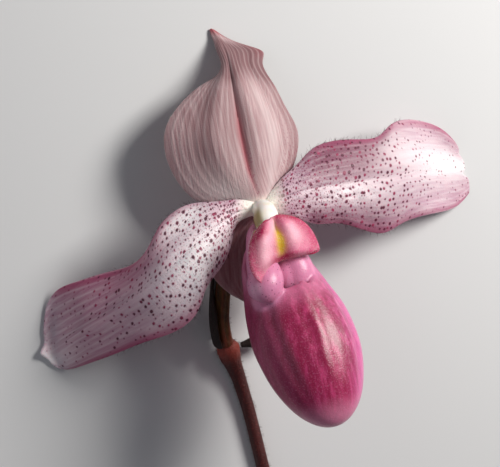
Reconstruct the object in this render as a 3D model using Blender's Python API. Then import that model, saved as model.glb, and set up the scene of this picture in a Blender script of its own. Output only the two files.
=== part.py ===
"""A paphiopedilum orchid bloom, picked with a short stem and laid face up on a flat surface.

Millimetres throughout, turned to metres where the meshes are made. The surface that the bloom
lies on is the plane z = 0, +Z is up from it, +Y runs from the stem towards the dorsal sepal.

The bloom's outlines are drawn on a portrait plane, the plane through the flower's centre that
squarely faces a viewer who looks down on the bloom. Each point there is (right, up, height):
where the viewer sees it on that plane, and how high it lies above the surface.
"""

import math

import bmesh
import bpy
import numpy as np

MM = 0.001

# The flower's centre is the top of the ovary, where sepals, petals, lip and column meet.
FLOWER_CENTRE = np.array([-4.45, 24.9, 17.5])

# The viewer stands to the flower's left and a little towards its head.
VIEW_DISTANCE = 450.0
VIEW_YAW = math.radians(20.0)
VIEW_PITCH = math.radians(8.0)
VIEW_ROLL = math.radians(9.0)

# Thickness of the fleshy blades, at the rib and at the margin.
SEPAL_RIB, SEPAL_EDGE = 1.1, 0.65
PETAL_RIB, PETAL_EDGE = 1.0, 0.65
LIP_WALL = 0.8

# How finely the solids are divided.
LIP_ROWS, LIP_ROLL_ROWS, LIP_SIDES = 17, 7, 36
TUBE_SIDES = 12


# Materials: real colour, roughness and no metal anywhere.
COLOURS = {
    "sepal": (0.80, 0.66, 0.68),
    "petal": (0.80, 0.55, 0.66),
    "lip": (0.62, 0.10, 0.30),
    "staminode": (0.85, 0.38, 0.45),
    "column": (0.90, 0.85, 0.66),
    "pollen": (0.62, 0.48, 0.20),
    "ovary": (0.22, 0.13, 0.04),
    "bract": (0.06, 0.05, 0.03),
    "stem": (0.24, 0.05, 0.04),
}
ROUGHNESS = 0.55


def clear_scene():
    for obj in list(bpy.data.objects):
        bpy.data.objects.remove(obj, do_unlink=True)


def make_material(name):
    material = bpy.data.materials.new(name)
    material.use_nodes = True
    shader = material.node_tree.nodes["Principled BSDF"]
    shader.inputs["Base Color"].default_value = (*COLOURS[name], 1.0)
    shader.inputs["Roughness"].default_value = ROUGHNESS
    shader.inputs["Metallic"].default_value = 0.0
    return material


def portrait_axes():
    """Unit vectors of the portrait plane: right, up, and towards the viewer."""
    sy, cy = math.sin(VIEW_YAW), math.cos(VIEW_YAW)
    sp, cp = math.sin(VIEW_PITCH), math.cos(VIEW_PITCH)
    sr, cr = math.sin(VIEW_ROLL), math.cos(VIEW_ROLL)
    level = np.array([cy, 0.0, sy])
    upright = np.array([sy * sp, cp, -cy * sp])
    toward = np.array([-sy * cp, sp, cy * cp])
    return level * cr - upright * sr, level * sr + upright * cr, toward


def seen_at(points):
    """Portrait points (right, up, height) as x, y, z: each lies on its line of sight, at its height."""
    points = np.asarray(points, float)
    right, up, toward = portrait_axes()
    eye = FLOWER_CENTRE + toward * VIEW_DISTANCE
    drawn = FLOWER_CENTRE + points[..., :1] * right + points[..., 1:2] * up
    reach = (points[..., 2:3] - eye[2]) / (drawn[..., 2:3] - eye[2])
    return eye + reach * (drawn - eye)


def spline(stations, shares):
    """A natural cubic spline through evenly numbered stations, read at shares of its length, 0 to 1."""
    p = np.asarray(stations, float)
    last = len(p) - 1
    system = 4 * np.eye(last + 1) + np.eye(last + 1, k=1) + np.eye(last + 1, k=-1)
    system[0, 0] = system[-1, -1] = 2
    pull = np.empty_like(p)
    pull[1:-1] = 3 * (p[2:] - p[:-2])
    pull[0] = 3 * (p[1] - p[0])
    pull[-1] = 3 * (p[-1] - p[-2])
    slope = np.linalg.solve(system, pull)
    where = np.clip(np.asarray(shares, float), 0, 1) * last
    i = np.minimum(where.astype(int), last - 1)
    t = (where - i).reshape(-1, *[1] * (p.ndim - 1))
    return (
        p[i] * (1 + 2 * t) * (1 - t) ** 2
        + slope[i] * t * (1 - t) ** 2
        + p[i + 1] * t**2 * (3 - 2 * t)
        + slope[i + 1] * t**2 * (t - 1)
    )


def ease(value, start, end):
    """0 before start, 1 after end, and smooth between."""
    t = np.clip((value - start) / (end - start), 0, 1)
    return t * t * (3 - 2 * t)


def bump(value, centre, width):
    return np.exp(-(((value - centre) / width) ** 2))


def surface_normals(grid):
    along = np.gradient(grid, axis=0)
    across = np.gradient(grid, axis=1)
    normals = np.cross(along, across)
    return normals / np.linalg.norm(normals, axis=2, keepdims=True)


def blade_grid(rails, relief, rows, columns):
    """The middle skin of a petal: every row is the parabola through its left, rib and right rails."""
    along = np.linspace(0, 1, rows)
    across = np.sin(np.linspace(-1, 1, columns) * math.pi / 2.4) / math.sin(math.pi / 2.4)
    left, rib, right = (spline(rail, along)[:, None] for rail in rails)
    t = across[None, :, None]
    drawn = left * t * (t - 1) / 2 + rib * (1 - t * t) + right * t * (t + 1) / 2
    s, t = np.meshgrid(along, across, indexing="ij")
    drawn[..., 2] += relief(s, t)
    return seen_at(drawn), s, t


def two_skins(grid, thickness):
    """The upper and lower skins of a blade. What would sink into the surface is pressed flat on it."""
    half = surface_normals(grid) * thickness[..., None] / 2
    half *= np.sign(half[..., 2:].mean())
    upper, lower = grid + half, grid - half
    lower[..., 2] = np.maximum(lower[..., 2], 0)
    upper[..., 2] = np.maximum(upper[..., 2], thickness)
    return upper, lower


def sheet_faces(rows, columns, first, flip):
    """Triangles of a grid of points, every square cut along the same diagonal."""
    faces = []
    for i in range(rows - 1):
        for j in range(columns - 1):
            a = first + i * columns + j
            b, c, d = a + 1, a + columns + 1, a + columns
            faces += [(a, c, b), (a, d, c)] if flip else [(a, b, c), (a, c, d)]
    return faces


def blade_mesh(upper, lower):
    """A closed blade: two skins cut alike, and a wall round their margin."""
    rows, columns = upper.shape[:2]
    count = rows * columns
    points = np.concatenate([upper.reshape(-1, 3), lower.reshape(-1, 3)])
    faces = sheet_faces(rows, columns, 0, False) + sheet_faces(rows, columns, count, True)
    rim = [(0, j) for j in range(columns)] + [(i, columns - 1) for i in range(1, rows)]
    rim += [(rows - 1, j) for j in range(columns - 2, -1, -1)] + [(i, 0) for i in range(rows - 2, 0, -1)]
    loop = [i * columns + j for i, j in rim]
    for a, b in zip(loop, loop[1:] + loop[:1]):
        faces += [(a, a + count, b), (b, a + count, b + count)]
    return points, faces


def tube_mesh(rings, start_cap=True, end_cap=True):
    """A closed tube through rings of points, each end closed round a middle point."""
    rows, sides = rings.shape[:2]
    points = rings.reshape(-1, 3)
    faces = []
    for i in range(rows - 1):
        for j in range(sides):
            a, b = i * sides + j, i * sides + (j + 1) % sides
            faces += [(a, b, b + sides), (a, b + sides, a + sides)]
    middles = np.array([rings[0].mean(0), rings[-1].mean(0)])
    points = np.concatenate([points, middles])
    for j in range(sides):
        k = (j + 1) % sides
        faces.append((rows * sides, k, j))
        faces.append((rows * sides + 1, (rows - 1) * sides + j, (rows - 1) * sides + k))
    return points, faces


def add_object(name, points, faces, material):
    """An object from points in millimetres, its faces turned outwards and its round sides smooth."""
    mesh = bpy.data.meshes.new(name)
    mesh.from_pydata((np.asarray(points) * MM).tolist(), [], [list(map(int, f)) for f in faces])
    shape = bmesh.new()
    shape.from_mesh(mesh)
    bmesh.ops.recalc_face_normals(shape, faces=shape.faces)
    if shape.calc_volume(signed=True) < 0:
        bmesh.ops.reverse_faces(shape, faces=shape.faces)
    shape.to_mesh(mesh)
    shape.free()
    mesh.shade_smooth()
    mesh.set_sharp_from_angle(angle=math.radians(50))
    mesh.materials.append(material)
    obj = bpy.data.objects.new(name, mesh)
    bpy.context.scene.collection.objects.link(obj)
    return obj


def ring_frames(path, level=False):
    """For points along a path: its direction, and two directions square to it, side and top."""
    forward = np.gradient(path, axis=0)
    forward /= np.linalg.norm(forward, axis=1, keepdims=True)
    if level:
        side = np.cross(forward, [0.0, 0.0, 1.0])
        side /= np.linalg.norm(side, axis=1, keepdims=True)
        return forward, side, np.cross(side, forward)
    start = np.cross(forward[0], [0.0, 0.0, 1.0])
    side = [start if np.linalg.norm(start) > 0.3 else np.array([1.0, 0.0, 0.0])]
    for ahead in forward:
        turned = side[-1] - ahead * (side[-1] @ ahead)
        side.append(turned / np.linalg.norm(turned))
    side = np.array(side[1:])
    return forward, side, np.cross(side, forward)


# Dorsal sepal: rails along its left margin, rib and right margin, base to tip.
DORSAL_LEFT = [
    (-2.2, 2.0, 15.9), (-6.8, 0.6, 14.6), (-11.8, 0.8, 13.0), (-15.6, 3.4, 11.8), (-18.4, 7.8, 10.8),
    (-19.6, 12.6, 10.0), (-18.8, 17.0, 9.0), (-16.0, 21.0, 7.8), (-12.2, 24.3, 6.2), (-9.2, 25.9, 4.4),
    (-7.5, 28.4, 3.0), (-8.0, 31.1, 1.8), (-9.3, 33.6, 0.8), (-10.5, 35.5, 0.3),
]
DORSAL_RIB = [
    (-0.8, 2.5, 16.0), (-1.7, 3.8, 16.3), (-2.6, 6.0, 16.1), (-3.3, 8.4, 15.8), (-4.0, 11.4, 15.2),
    (-4.7, 14.6, 14.3), (-5.2, 17.8, 13.1), (-5.7, 21.2, 11.6), (-6.1, 24.2, 9.9), (-6.4, 26.6, 8.2),
    (-6.8, 29.0, 6.3), (-7.7, 31.4, 3.6), (-8.9, 33.7, 1.2), (-10.2, 35.8, 0.3),
]
DORSAL_RIGHT = [
    (0.5, 2.6, 15.9), (2.6, 4.4, 15.0), (4.8, 6.9, 13.6), (6.4, 9.4, 12.2), (7.3, 12.4, 11.0),
    (7.1, 15.5, 10.0), (5.9, 18.2, 9.2), (4.4, 20.8, 8.2), (2.8, 24.0, 7.0), (1.2, 26.5, 5.9),
    (0.2, 29.2, 4.6), (0.0, 31.4, 3.0), (-5.0, 33.0, 1.2), (-9.8, 35.7, 0.3),
]

# Synsepal: the two lower sepals grown into one blade, behind the lip.
SYNSEPAL_LEFT = [
    (-1.7, -2.3, 15.2), (-4.8, -3.8, 14.0), (-8.2, -6.6, 13.0), (-10.2, -9.8, 12.2), (-10.2, -13.0, 11.6),
    (-8.6, -15.4, 11.0), (-6.0, -17.5, 10.6), (-2.4, -19.2, 10.2),
]
SYNSEPAL_RIB = [
    (-0.2, -2.5, 15.2), (0.2, -5.0, 14.0), (0.6, -7.6, 12.8), (0.8, -10.6, 11.9), (1.0, -13.8, 11.2),
    (1.2, -16.6, 10.7), (1.2, -18.6, 10.3), (1.2, -20.0, 10.0),
]
SYNSEPAL_RIGHT = [
    (1.1, -2.2, 15.2), (4.4, -4.6, 14.0), (7.0, -7.0, 13.0), (8.2, -10.0, 12.2), (8.2, -13.0, 11.6),
    (7.6, -15.6, 11.0), (6.0, -17.8, 10.6), (3.6, -19.4, 10.2),
]

# Left petal: it droops, and turns half over on its way out.
LEFT_PETAL_UPPER = [
    (-3.0, 1.2, 16.2), (-4.9, 1.4, 17.0), (-8.4, 1.1, 16.4), (-12.4, 0.9, 15.4), (-16.4, -0.2, 14.4),
    (-20.2, -3.4, 13.6), (-22.2, -7.2, 12.8), (-25.4, -11.2, 11.4), (-30.8, -13.0, 8.8), (-36.8, -14.8, 5.4),
    (-41.4, -17.0, 1.6), (-43.8, -21.6, 0.5),
]
LEFT_PETAL_RIB = [
    (-3.0, -0.5, 16.3), (-4.9, -1.0, 17.5), (-7.6, -2.6, 18.6), (-10.6, -5.0, 19.8), (-14.0, -8.2, 20.4),
    (-17.4, -11.4, 20.2), (-21.4, -15.0, 18.6), (-25.6, -18.2, 15.4), (-30.8, -21.4, 11.0), (-36.4, -24.6, 6.6),
    (-41.0, -27.6, 0.7), (-44.4, -29.0, 0.15),
]
LEFT_PETAL_LOWER = [
    (-2.8, -1.9, 16.2), (-5.3, -3.6, 17.0), (-6.2, -7.6, 18.2), (-8.4, -12.4, 20.0), (-11.2, -16.4, 21.4),
    (-13.0, -21.2, 21.6), (-17.4, -25.0, 19.6), (-23.2, -27.0, 15.4), (-28.8, -29.2, 10.0), (-34.4, -31.2, 5.0),
    (-38.8, -32.4, 0.9), (-40.8, -31.6, 0.4),
]

# Right petal: held level, broad and wavy at its blunt end.
RIGHT_PETAL_UPPER = [
    (1.9, 2.0, 16.3), (3.8, 5.6, 16.4), (7.0, 8.6, 15.2), (10.2, 11.8, 14.0), (14.6, 13.4, 12.8),
    (19.2, 13.7, 11.4), (23.2, 14.3, 10.2), (26.0, 16.8, 9.6), (30.2, 17.7, 8.0), (35.6, 16.2, 4.0),
    (39.0, 13.0, 1.2),
]
RIGHT_PETAL_RIB = [
    (2.3, 0.5, 16.4), (4.4, 2.0, 17.6), (7.6, 3.2, 17.8), (11.2, 4.0, 17.4), (15.2, 4.6, 16.6),
    (19.6, 5.4, 15.2), (24.4, 6.2, 13.4), (28.8, 7.0, 11.2), (33.6, 7.6, 6.6), (37.9, 7.6, 1.8),
    (41.2, 7.4, 0.15),
]
RIGHT_PETAL_LOWER = [
    (2.4, -1.0, 16.3), (4.8, -1.6, 16.8), (7.8, -2.5, 16.2), (11.2, -3.3, 15.4), (15.4, -3.2, 14.6),
    (19.8, -4.3, 13.4), (24.4, -5.0, 11.6), (28.4, -2.9, 9.2), (33.6, -1.2, 6.4), (38.6, 0.2, 2.4),
    (41.6, 3.2, 0.4),
]

# Staminode: the shield in the flower's middle, two cushions with a groove between them.
STAMINODE_LEFT = [
    (0.6, -3.0, 27.0), (-1.2, -4.8, 27.4), (-2.3, -6.8, 27.8), (-2.8, -9.2, 28.6), (-2.6, -11.8, 29.6),
    (-1.7, -14.1, 30.4), (-0.2, -15.5, 30.8),
]
STAMINODE_RIB = [
    (1.9, -2.2, 27.2), (2.3, -3.6, 28.2), (2.7, -5.2, 28.9), (3.1, -6.9, 29.4), (3.3, -8.6, 29.3),
    (3.2, -10.0, 28.7), (2.6, -11.2, 27.8),
]
STAMINODE_RIGHT = [
    (3.3, -1.8, 26.6), (6.0, -2.0, 26.4), (8.4, -3.1, 26.2), (10.1, -5.0, 26.1), (11.2, -7.3, 26.8),
    (11.4, -8.8, 27.5), (10.2, -9.3, 28.1),
]


def sepal_thickness(s, t):
    return SEPAL_EDGE + (SEPAL_RIB - SEPAL_EDGE) * bump(t, 0, 0.25)


def petal_thickness(s, t):
    return PETAL_EDGE + (PETAL_RIB - PETAL_EDGE) * bump(t, 0, 0.3)


def dorsal_relief(s, t):
    """The rib lies in a groove between two low folds, which run from base to tip."""
    fade = ease(s, 0.02, 0.4) * ease(1 - s, 0.12, 0.4)
    return fade * (1.1 * bump(abs(t), 0.32, 0.2) - 0.4 * bump(t, 0, 0.12))


def synsepal_relief(s, t):
    return 0.5 * ease(s, 0.05, 0.3) * bump(abs(t), 0.35, 0.2)


def petal_relief(s, t):
    """Low waves across the outer half of the blade, and a shallow groove over the rib."""
    waves = 0.5 * np.sin(s * 17 + t * 1.5) * t**2 * ease(s, 0.15, 0.4) * ease(1 - s, 0.0, 0.2)
    return waves - 0.35 * ease(s, 0.0, 0.15) * ease(1 - s, 0.0, 0.3) * bump(t, 0, 0.12)


def staminode_relief(s, t):
    fade = ease(s, 0.0, 0.25) * ease(1 - s, 0.0, 0.2)
    return 1.1 * fade * bump(abs(t), 0.45, 0.25) - 0.5 * ease(s, 0.0, 0.2) * bump(t, 0, 0.12)


def staminode_thickness(s, t):
    return 0.9 + 0.3 * bump(abs(t), 0.4, 0.3)


def add_blade(name, rails, relief, thickness, divisions, material):
    grid, s, t = blade_grid(rails, relief, *divisions)
    upper, lower = two_skins(grid, thickness(s, t) + 0 * s)
    return add_object(name, *blade_mesh(upper, lower), material)


# Lip: the pouch hangs from the flower's centre. Its axis runs from the toe to the claw, as
# offsets from the flower's centre, with the half width and half depth of its wall.
LIP_AXIS = [
    (1.7, -42.7, 17.0), (1.6, -36.3, 14.2), (1.1, -28.2, 10.2), (0.55, -21.7, 6.9), (0.0, -15.8, 4.0),
    (-0.3, -10.2, 1.5), (-0.2, -3.7, -0.2),
]
LIP_HALF_WIDTH = [7.8, 8.9, 10.0, 9.5, 7.7, 5.6, 1.9]
LIP_HALF_DEPTH = [5.6, 6.8, 8.2, 8.1, 6.6, 4.2, 0.9]
LIP_TOE = 0.3
# Every 15 degrees round the mouth, front to back: how high the wall's crest reaches along the
# axis, the radius of its inrolled margin, how many degrees round that margin turns, and how far
# the roll leans from the pouch's own direction towards the viewer.
LIP_CREST = [0.60, 0.602, 0.612, 0.64, 0.68, 0.73, 0.79, 0.85, 0.91, 0.955, 0.98, 0.995, 1.0]
LIP_ROLL = [0.6, 0.7, 1.4, 2.4, 2.5, 2.0, 1.7, 1.5, 1.2, 0.9, 0.7, 0.6, 0.6]
LIP_ROLL_TURN = [110, 130, 165, 190, 200, 195, 185, 165, 130, 80, 50, 35, 30]
LIP_ROLL_LEAN = [0, 8, 25, 45, 58, 66, 70, 70, 66, 50, 30, 10, 0]
LIP_SHOULDER = 2.1


def lip_frame(w):
    """The lip's axis point at w, and its three directions: sideways, towards the viewer, towards the claw."""
    centre = spline(LIP_AXIS, w)
    ahead = spline(LIP_AXIS, w + 0.01) - spline(LIP_AXIS, w - 0.01)
    ahead /= np.linalg.norm(ahead, axis=1, keepdims=True)
    side = np.array([1.0, 0.0, 0.0]) - ahead * ahead[:, :1]
    side /= np.linalg.norm(side, axis=1, keepdims=True)
    return centre, side, np.cross(side, ahead), ahead


def lip_wall_ring(share, turn, crest):
    """One ring of the lip's wall, at this share of the way from the toe up to the crest."""
    w = crest * share
    centre, side, front, ahead = lip_frame(w)
    toe = np.sqrt(1 - (1 - np.minimum(w / LIP_TOE, 1)) ** 2)
    off_front = np.minimum(turn, 2 * math.pi - turn)
    shoulder = LIP_SHOULDER * bump(off_front, math.radians(46), math.radians(22)) * bump(w, crest, 0.055)
    wide = spline(LIP_HALF_WIDTH, w) * toe + shoulder
    deep = spline(LIP_HALF_DEPTH, w) * toe + shoulder
    return centre + wide[:, None] * np.sin(turn)[:, None] * side + deep[:, None] * np.cos(turn)[:, None] * front


def lip_grid(rows=LIP_ROWS, roll_rows=LIP_ROLL_ROWS, sides=LIP_SIDES):
    """The middle skin of the lip, ring by ring from the toe to the rolled margin of the mouth."""
    turn = np.linspace(0, 2 * math.pi, sides, endpoint=False)
    off_front = np.minimum(turn, 2 * math.pi - turn)
    crest, roll, roll_turn, lean = (
        spline(np.array(table)[:, None], off_front / math.pi)
        for table in (LIP_CREST, LIP_ROLL, LIP_ROLL_TURN, LIP_ROLL_LEAN)
    )
    climb = ((np.arange(rows) + 0.35) / (rows - 0.65)) ** 1.35
    wall = np.array([lip_wall_ring(share, turn, crest[:, 0]) for share in climb])
    side, front, ahead = lip_frame(crest[:, 0])[1:]
    lean, roll_turn = np.radians(lean), np.radians(roll_turn)
    rise = ahead * np.cos(lean) + front * np.sin(lean)
    across = ease(off_front, math.radians(5), math.radians(50))[:, None]
    inward = -front * (1 - across) * np.cos(off_front)[:, None] - side * across * np.sign(np.sin(turn))[:, None]
    inward -= rise * (inward * rise).sum(1, keepdims=True)
    inward /= np.linalg.norm(inward, axis=1, keepdims=True)
    margin = []
    for k in range(1, roll_rows + 1):
        phi = roll_turn * k / roll_rows
        margin.append(wall[-1] + roll * (inward * (1 - np.cos(phi)) + rise * np.sin(phi)))
    return np.concatenate([wall, margin]) + FLOWER_CENTRE


def ring_normals(grid):
    along = np.gradient(grid, axis=0)
    around = (np.roll(grid, -1, axis=1) - np.roll(grid, 1, axis=1)) / 2
    normals = np.cross(around, along)
    return normals / np.linalg.norm(normals, axis=2, keepdims=True)


def lip_mesh(grid, wall):
    """Outer and inner skins of the lip, each closed round a point at the toe, joined at the mouth."""
    rows, sides = grid.shape[:2]
    half = ring_normals(grid) * wall / 2
    toe = grid[0].mean(0)
    below = toe - grid[3].mean(0)
    below *= wall / 2 / np.linalg.norm(below)
    outer, inner = (grid + half).reshape(-1, 3), (grid - half).reshape(-1, 3)
    points = np.concatenate([outer, inner, [toe + below * 1.3, toe - below]])
    count = rows * sides
    faces = []
    for i in range(rows - 1):
        for j in range(sides):
            a, b = i * sides + j, i * sides + (j + 1) % sides
            faces += [(a, b, b + sides), (a, b + sides, a + sides)]
            a, b = a + count, b + count
            faces += [(a, b + sides, b), (a, a + sides, b + sides)]
    for j in range(sides):
        k = (j + 1) % sides
        a, b = (rows - 1) * sides + j, (rows - 1) * sides + k
        faces += [(2 * count, k, j), (2 * count + 1, count + j, count + k)]
        faces += [(a, b, b + count), (a, b + count, a + count)]
    return points, faces


# Ovary: from the flower's centre it bends down and back to the node on the stem.
OVARY_LINE = [
    (-0.3, 0.1, 16.6), (-0.9, 0.2, 14.8), (-2.2, -1.2, 12.0), (-4.2, -4.4, 9.8), (-6.0, -9.0, 8.2),
    (-7.4, -14.0, 7.0), (-7.9, -19.0, 5.8), (-7.9, -22.6, 4.9), (-7.55, -25.2, 4.2), (-7.3, -26.2, 4.0),
]
OVARY_RADIUS = [1.9, 1.95, 1.9, 1.7, 1.65, 1.65, 1.65, 1.6, 1.6, 1.6]

# Stem: from the node to the plain cut. It lies along the surface.
STEM_LINE = [
    (-7.1, -27.1), (-6.75, -28.2), (-5.9, -30.6), (-4.7, -33.6), (-3.6, -37.0), (-2.4, -41.0),
    (-1.1, -46.2), (0.35, -52.0), (1.6, -58.0), (2.5, -65.0), (3.0, -72.0), (3.0, -79.0),
]
STEM_RADIUS = [1.7, 2.6, 1.85, 1.45, 1.37, 1.35, 1.35, 1.35, 1.35, 1.35, 1.38, 1.4]

# Next bud: a short spur that leaves the node on the right and ends in a small bud.
BUD_LINE = [
    (-4.1, -27.4, 2.9), (-3.3, -27.2, 3.0), (-2.2, -26.95, 3.1), (-0.7, -26.6, 3.3), (1.0, -26.3, 3.5),
    (2.6, -26.0, 3.7),
]
BUD_RADIUS = [0.6, 0.75, 1.1, 1.35, 1.2, 0.35]

# Column: its foot stands on the ovary, it leans over the mouth and ends in the stigma.
COLUMN_LINE = [
    (0.0, 0.0, -0.4), (-0.1, -0.4, 2.2), (-0.7, -1.2, 4.8), (-1.4, -2.8, 7.0), (-1.1, -5.4, 7.1), (-0.7, -7.1, 5.5),
]
COLUMN_RADIUS = [2.5, 2.65, 2.5, 2.0, 1.4, 2.0]
ANTHER_CENTRES = {"anther_left": (-4.4, -4.6, 7.3), "anther_right": (1.9, -4.7, 7.3)}
ANTHER_RADII = (1.1, 1.4, 1.0)

# Floral bract: a sheath round the lower ovary, open towards the bud.
BRACT_RADIUS = 2.4
BRACT_FROM, BRACT_TO = math.radians(-135), math.radians(45)
BRACT_THICKNESS = 0.65
BRACT_SPAN = (0.56, 0.97)


def swept_rings(path, radii, sides=TUBE_SIDES, level=False):
    """Rings round a path, with a flat side underneath where the rings are level."""
    side, top = ring_frames(path, level)[1:]
    turn = (np.arange(sides) + 0.5) * 2 * math.pi / sides - math.pi / 2
    turn = turn[None, :, None]
    return path[:, None] + radii[:, None, None] * (np.cos(turn) * side[:, None] + np.sin(turn) * top[:, None])


def sampled(stations, rows):
    return spline(stations, np.linspace(0, 1, rows))


def sampled_radii(radii, rows):
    return sampled(np.array(radii)[:, None], rows)[:, 0]


def add_tube(name, path, radii, material, sides=TUBE_SIDES, level=False):
    rings = swept_rings(path, radii, sides, level)
    rings[..., 2] = np.maximum(rings[..., 2], 0)
    return add_object(name, *tube_mesh(rings), material)


def add_ovary(material):
    path = seen_at(sampled(OVARY_LINE, 18))
    return add_tube("ovary", path, sampled_radii(OVARY_RADIUS, 18), material)


def add_stem(material):
    rows = 24
    radii = sampled_radii(STEM_RADIUS, rows)
    line = sampled(STEM_LINE, rows)
    height = radii * math.cos(math.pi / TUBE_SIDES) - 0.02
    path = seen_at(np.column_stack([line, height]))
    path[:, 2] = height
    return add_tube("stem", path, radii, material, level=True)


def add_bract(material):
    """The sheath follows the ovary's own line, and narrows to its free tip."""
    rows, columns = 11, 9
    share = np.linspace(*BRACT_SPAN, rows)
    path = seen_at(spline(OVARY_LINE, share))
    side, top = ring_frames(path, level=True)[1:]
    open_up = ease(np.linspace(0, 1, rows), 0.0, 0.45) * 0.45 + 0.55
    middle, half = (BRACT_FROM + BRACT_TO) / 2, (BRACT_TO - BRACT_FROM) / 2
    turn = middle + half * open_up[:, None] * np.linspace(-1, 1, columns)[None, :]
    spoke = np.cos(turn)[..., None] * side[:, None] + np.sin(turn)[..., None] * top[:, None]
    grid = path[:, None] + BRACT_RADIUS * spoke
    away = spoke * BRACT_THICKNESS / 2
    outer, inner = grid + away, grid - away
    outer[..., 2] = np.maximum(outer[..., 2], 0)
    return add_object("floral_bract", *blade_mesh(outer, inner), material)


def add_column(material):
    path = sampled(COLUMN_LINE, 13) + FLOWER_CENTRE
    return add_tube("column", path, sampled_radii(COLUMN_RADIUS, 13), material)


def add_anther(name, material):
    sides, rows = 10, 7
    centre = np.array(ANTHER_CENTRES[name]) + FLOWER_CENTRE
    rings = []
    for k in range(rows):
        phi = math.pi * (k + 0.6) / (rows + 0.2)
        turn = np.arange(sides) * 2 * math.pi / sides
        ring = np.stack([np.cos(turn) * math.sin(phi), np.sin(turn) * math.sin(phi), 0 * turn - math.cos(phi)], 1)
        rings.append(centre + ring * ANTHER_RADII)
    return add_object(name, *tube_mesh(np.array(rings)), material)


def main():
    clear_scene()
    paint = {name: make_material(name) for name in COLOURS}
    dorsal = (DORSAL_LEFT, DORSAL_RIB, DORSAL_RIGHT)
    synsepal = (SYNSEPAL_LEFT, SYNSEPAL_RIB, SYNSEPAL_RIGHT)
    left_petal = (LEFT_PETAL_UPPER, LEFT_PETAL_RIB, LEFT_PETAL_LOWER)
    right_petal = (RIGHT_PETAL_UPPER, RIGHT_PETAL_RIB, RIGHT_PETAL_LOWER)
    staminode = (STAMINODE_LEFT, STAMINODE_RIB, STAMINODE_RIGHT)
    add_blade("dorsal_sepal", dorsal, dorsal_relief, sepal_thickness, (27, 13), paint["sepal"])
    add_blade("synsepal", synsepal, synsepal_relief, sepal_thickness, (15, 9), paint["sepal"])
    add_blade("petal_left", left_petal, petal_relief, petal_thickness, (27, 11), paint["petal"])
    add_blade("petal_right", right_petal, petal_relief, petal_thickness, (27, 11), paint["petal"])
    add_blade("staminode", staminode, staminode_relief, staminode_thickness, (15, 13), paint["staminode"])
    add_object("lip_pouch", *lip_mesh(lip_grid(), LIP_WALL), paint["lip"])
    add_column(paint["column"])
    for name in ANTHER_CENTRES:
        add_anther(name, paint["pollen"])
    add_ovary(paint["ovary"])
    add_bract(paint["bract"])
    add_stem(paint["stem"])
    bud = seen_at(sampled(BUD_LINE, 10))
    add_tube("next_bud", bud, sampled_radii(BUD_RADIUS, 10), paint["bract"], 8)


main()
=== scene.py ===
# %% [markdown]
# # A paphiopedilum bloom, laid face up on a table
#
# A slipper orchid's flower: one tall dorsal sepal, two spotted petals, a joined lower sepal behind,
# a pouch-shaped lip, a two-lobed shield in the middle and a hairy stem that was cut below the node.
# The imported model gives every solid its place. Each solid is replaced here by a finer mesh that is
# drawn on the same lines, so that veins, rolled margins and hairs can be real geometry.

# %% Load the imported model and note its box
import math

import bmesh
import bpy
import numpy as np
from mathutils import Matrix, Vector


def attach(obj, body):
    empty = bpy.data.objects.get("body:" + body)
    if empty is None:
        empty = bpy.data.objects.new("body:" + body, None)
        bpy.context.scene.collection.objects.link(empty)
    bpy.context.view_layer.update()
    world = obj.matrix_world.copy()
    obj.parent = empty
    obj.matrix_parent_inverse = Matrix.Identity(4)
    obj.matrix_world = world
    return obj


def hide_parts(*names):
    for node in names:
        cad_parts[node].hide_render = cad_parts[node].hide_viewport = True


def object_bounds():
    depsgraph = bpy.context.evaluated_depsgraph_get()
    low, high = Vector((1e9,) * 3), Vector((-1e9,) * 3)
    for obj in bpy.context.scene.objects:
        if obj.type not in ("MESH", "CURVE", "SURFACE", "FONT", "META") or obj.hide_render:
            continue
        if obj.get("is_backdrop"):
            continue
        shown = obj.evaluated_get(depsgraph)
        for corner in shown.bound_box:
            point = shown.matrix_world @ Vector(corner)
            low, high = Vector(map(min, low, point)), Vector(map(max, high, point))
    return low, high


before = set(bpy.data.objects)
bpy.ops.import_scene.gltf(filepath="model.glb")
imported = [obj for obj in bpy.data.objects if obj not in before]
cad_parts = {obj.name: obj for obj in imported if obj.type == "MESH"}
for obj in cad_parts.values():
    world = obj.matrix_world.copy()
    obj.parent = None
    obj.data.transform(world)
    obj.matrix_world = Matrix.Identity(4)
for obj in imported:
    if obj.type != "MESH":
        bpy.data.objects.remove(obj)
cad_box = [list(corner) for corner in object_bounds()]
MM = 0.001
print("nodes:", ", ".join(sorted(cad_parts)))

# %% [markdown]
# ## Where the flower is, and how it is seen
#
# The bloom is drawn on a portrait plane through its centre. A point there is (right, up, height):
# where the viewer sees it, and how high it lies above the table. That keeps the outline true from
# the front whatever the heights are, as a sculptor does who checks a relief against a drawing.

# %% The portrait plane
FLOWER_CENTRE = np.array([-4.45, 24.9, 17.5])
VIEW_DISTANCE = 450.0
VIEW_YAW, VIEW_PITCH, VIEW_ROLL = (math.radians(angle) for angle in (20.0, 8.0, 9.0))


def portrait_axes():
    """Unit vectors of the portrait plane: right, up, and towards the viewer."""
    sy, cy = math.sin(VIEW_YAW), math.cos(VIEW_YAW)
    sp, cp = math.sin(VIEW_PITCH), math.cos(VIEW_PITCH)
    sr, cr = math.sin(VIEW_ROLL), math.cos(VIEW_ROLL)
    level = np.array([cy, 0.0, sy])
    upright = np.array([sy * sp, cp, -cy * sp])
    toward = np.array([-sy * cp, sp, cy * cp])
    return level * cr - upright * sr, level * sr + upright * cr, toward


RIGHT, UP, TOWARD = portrait_axes()
print("towards the viewer:", TOWARD.round(2))


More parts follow.
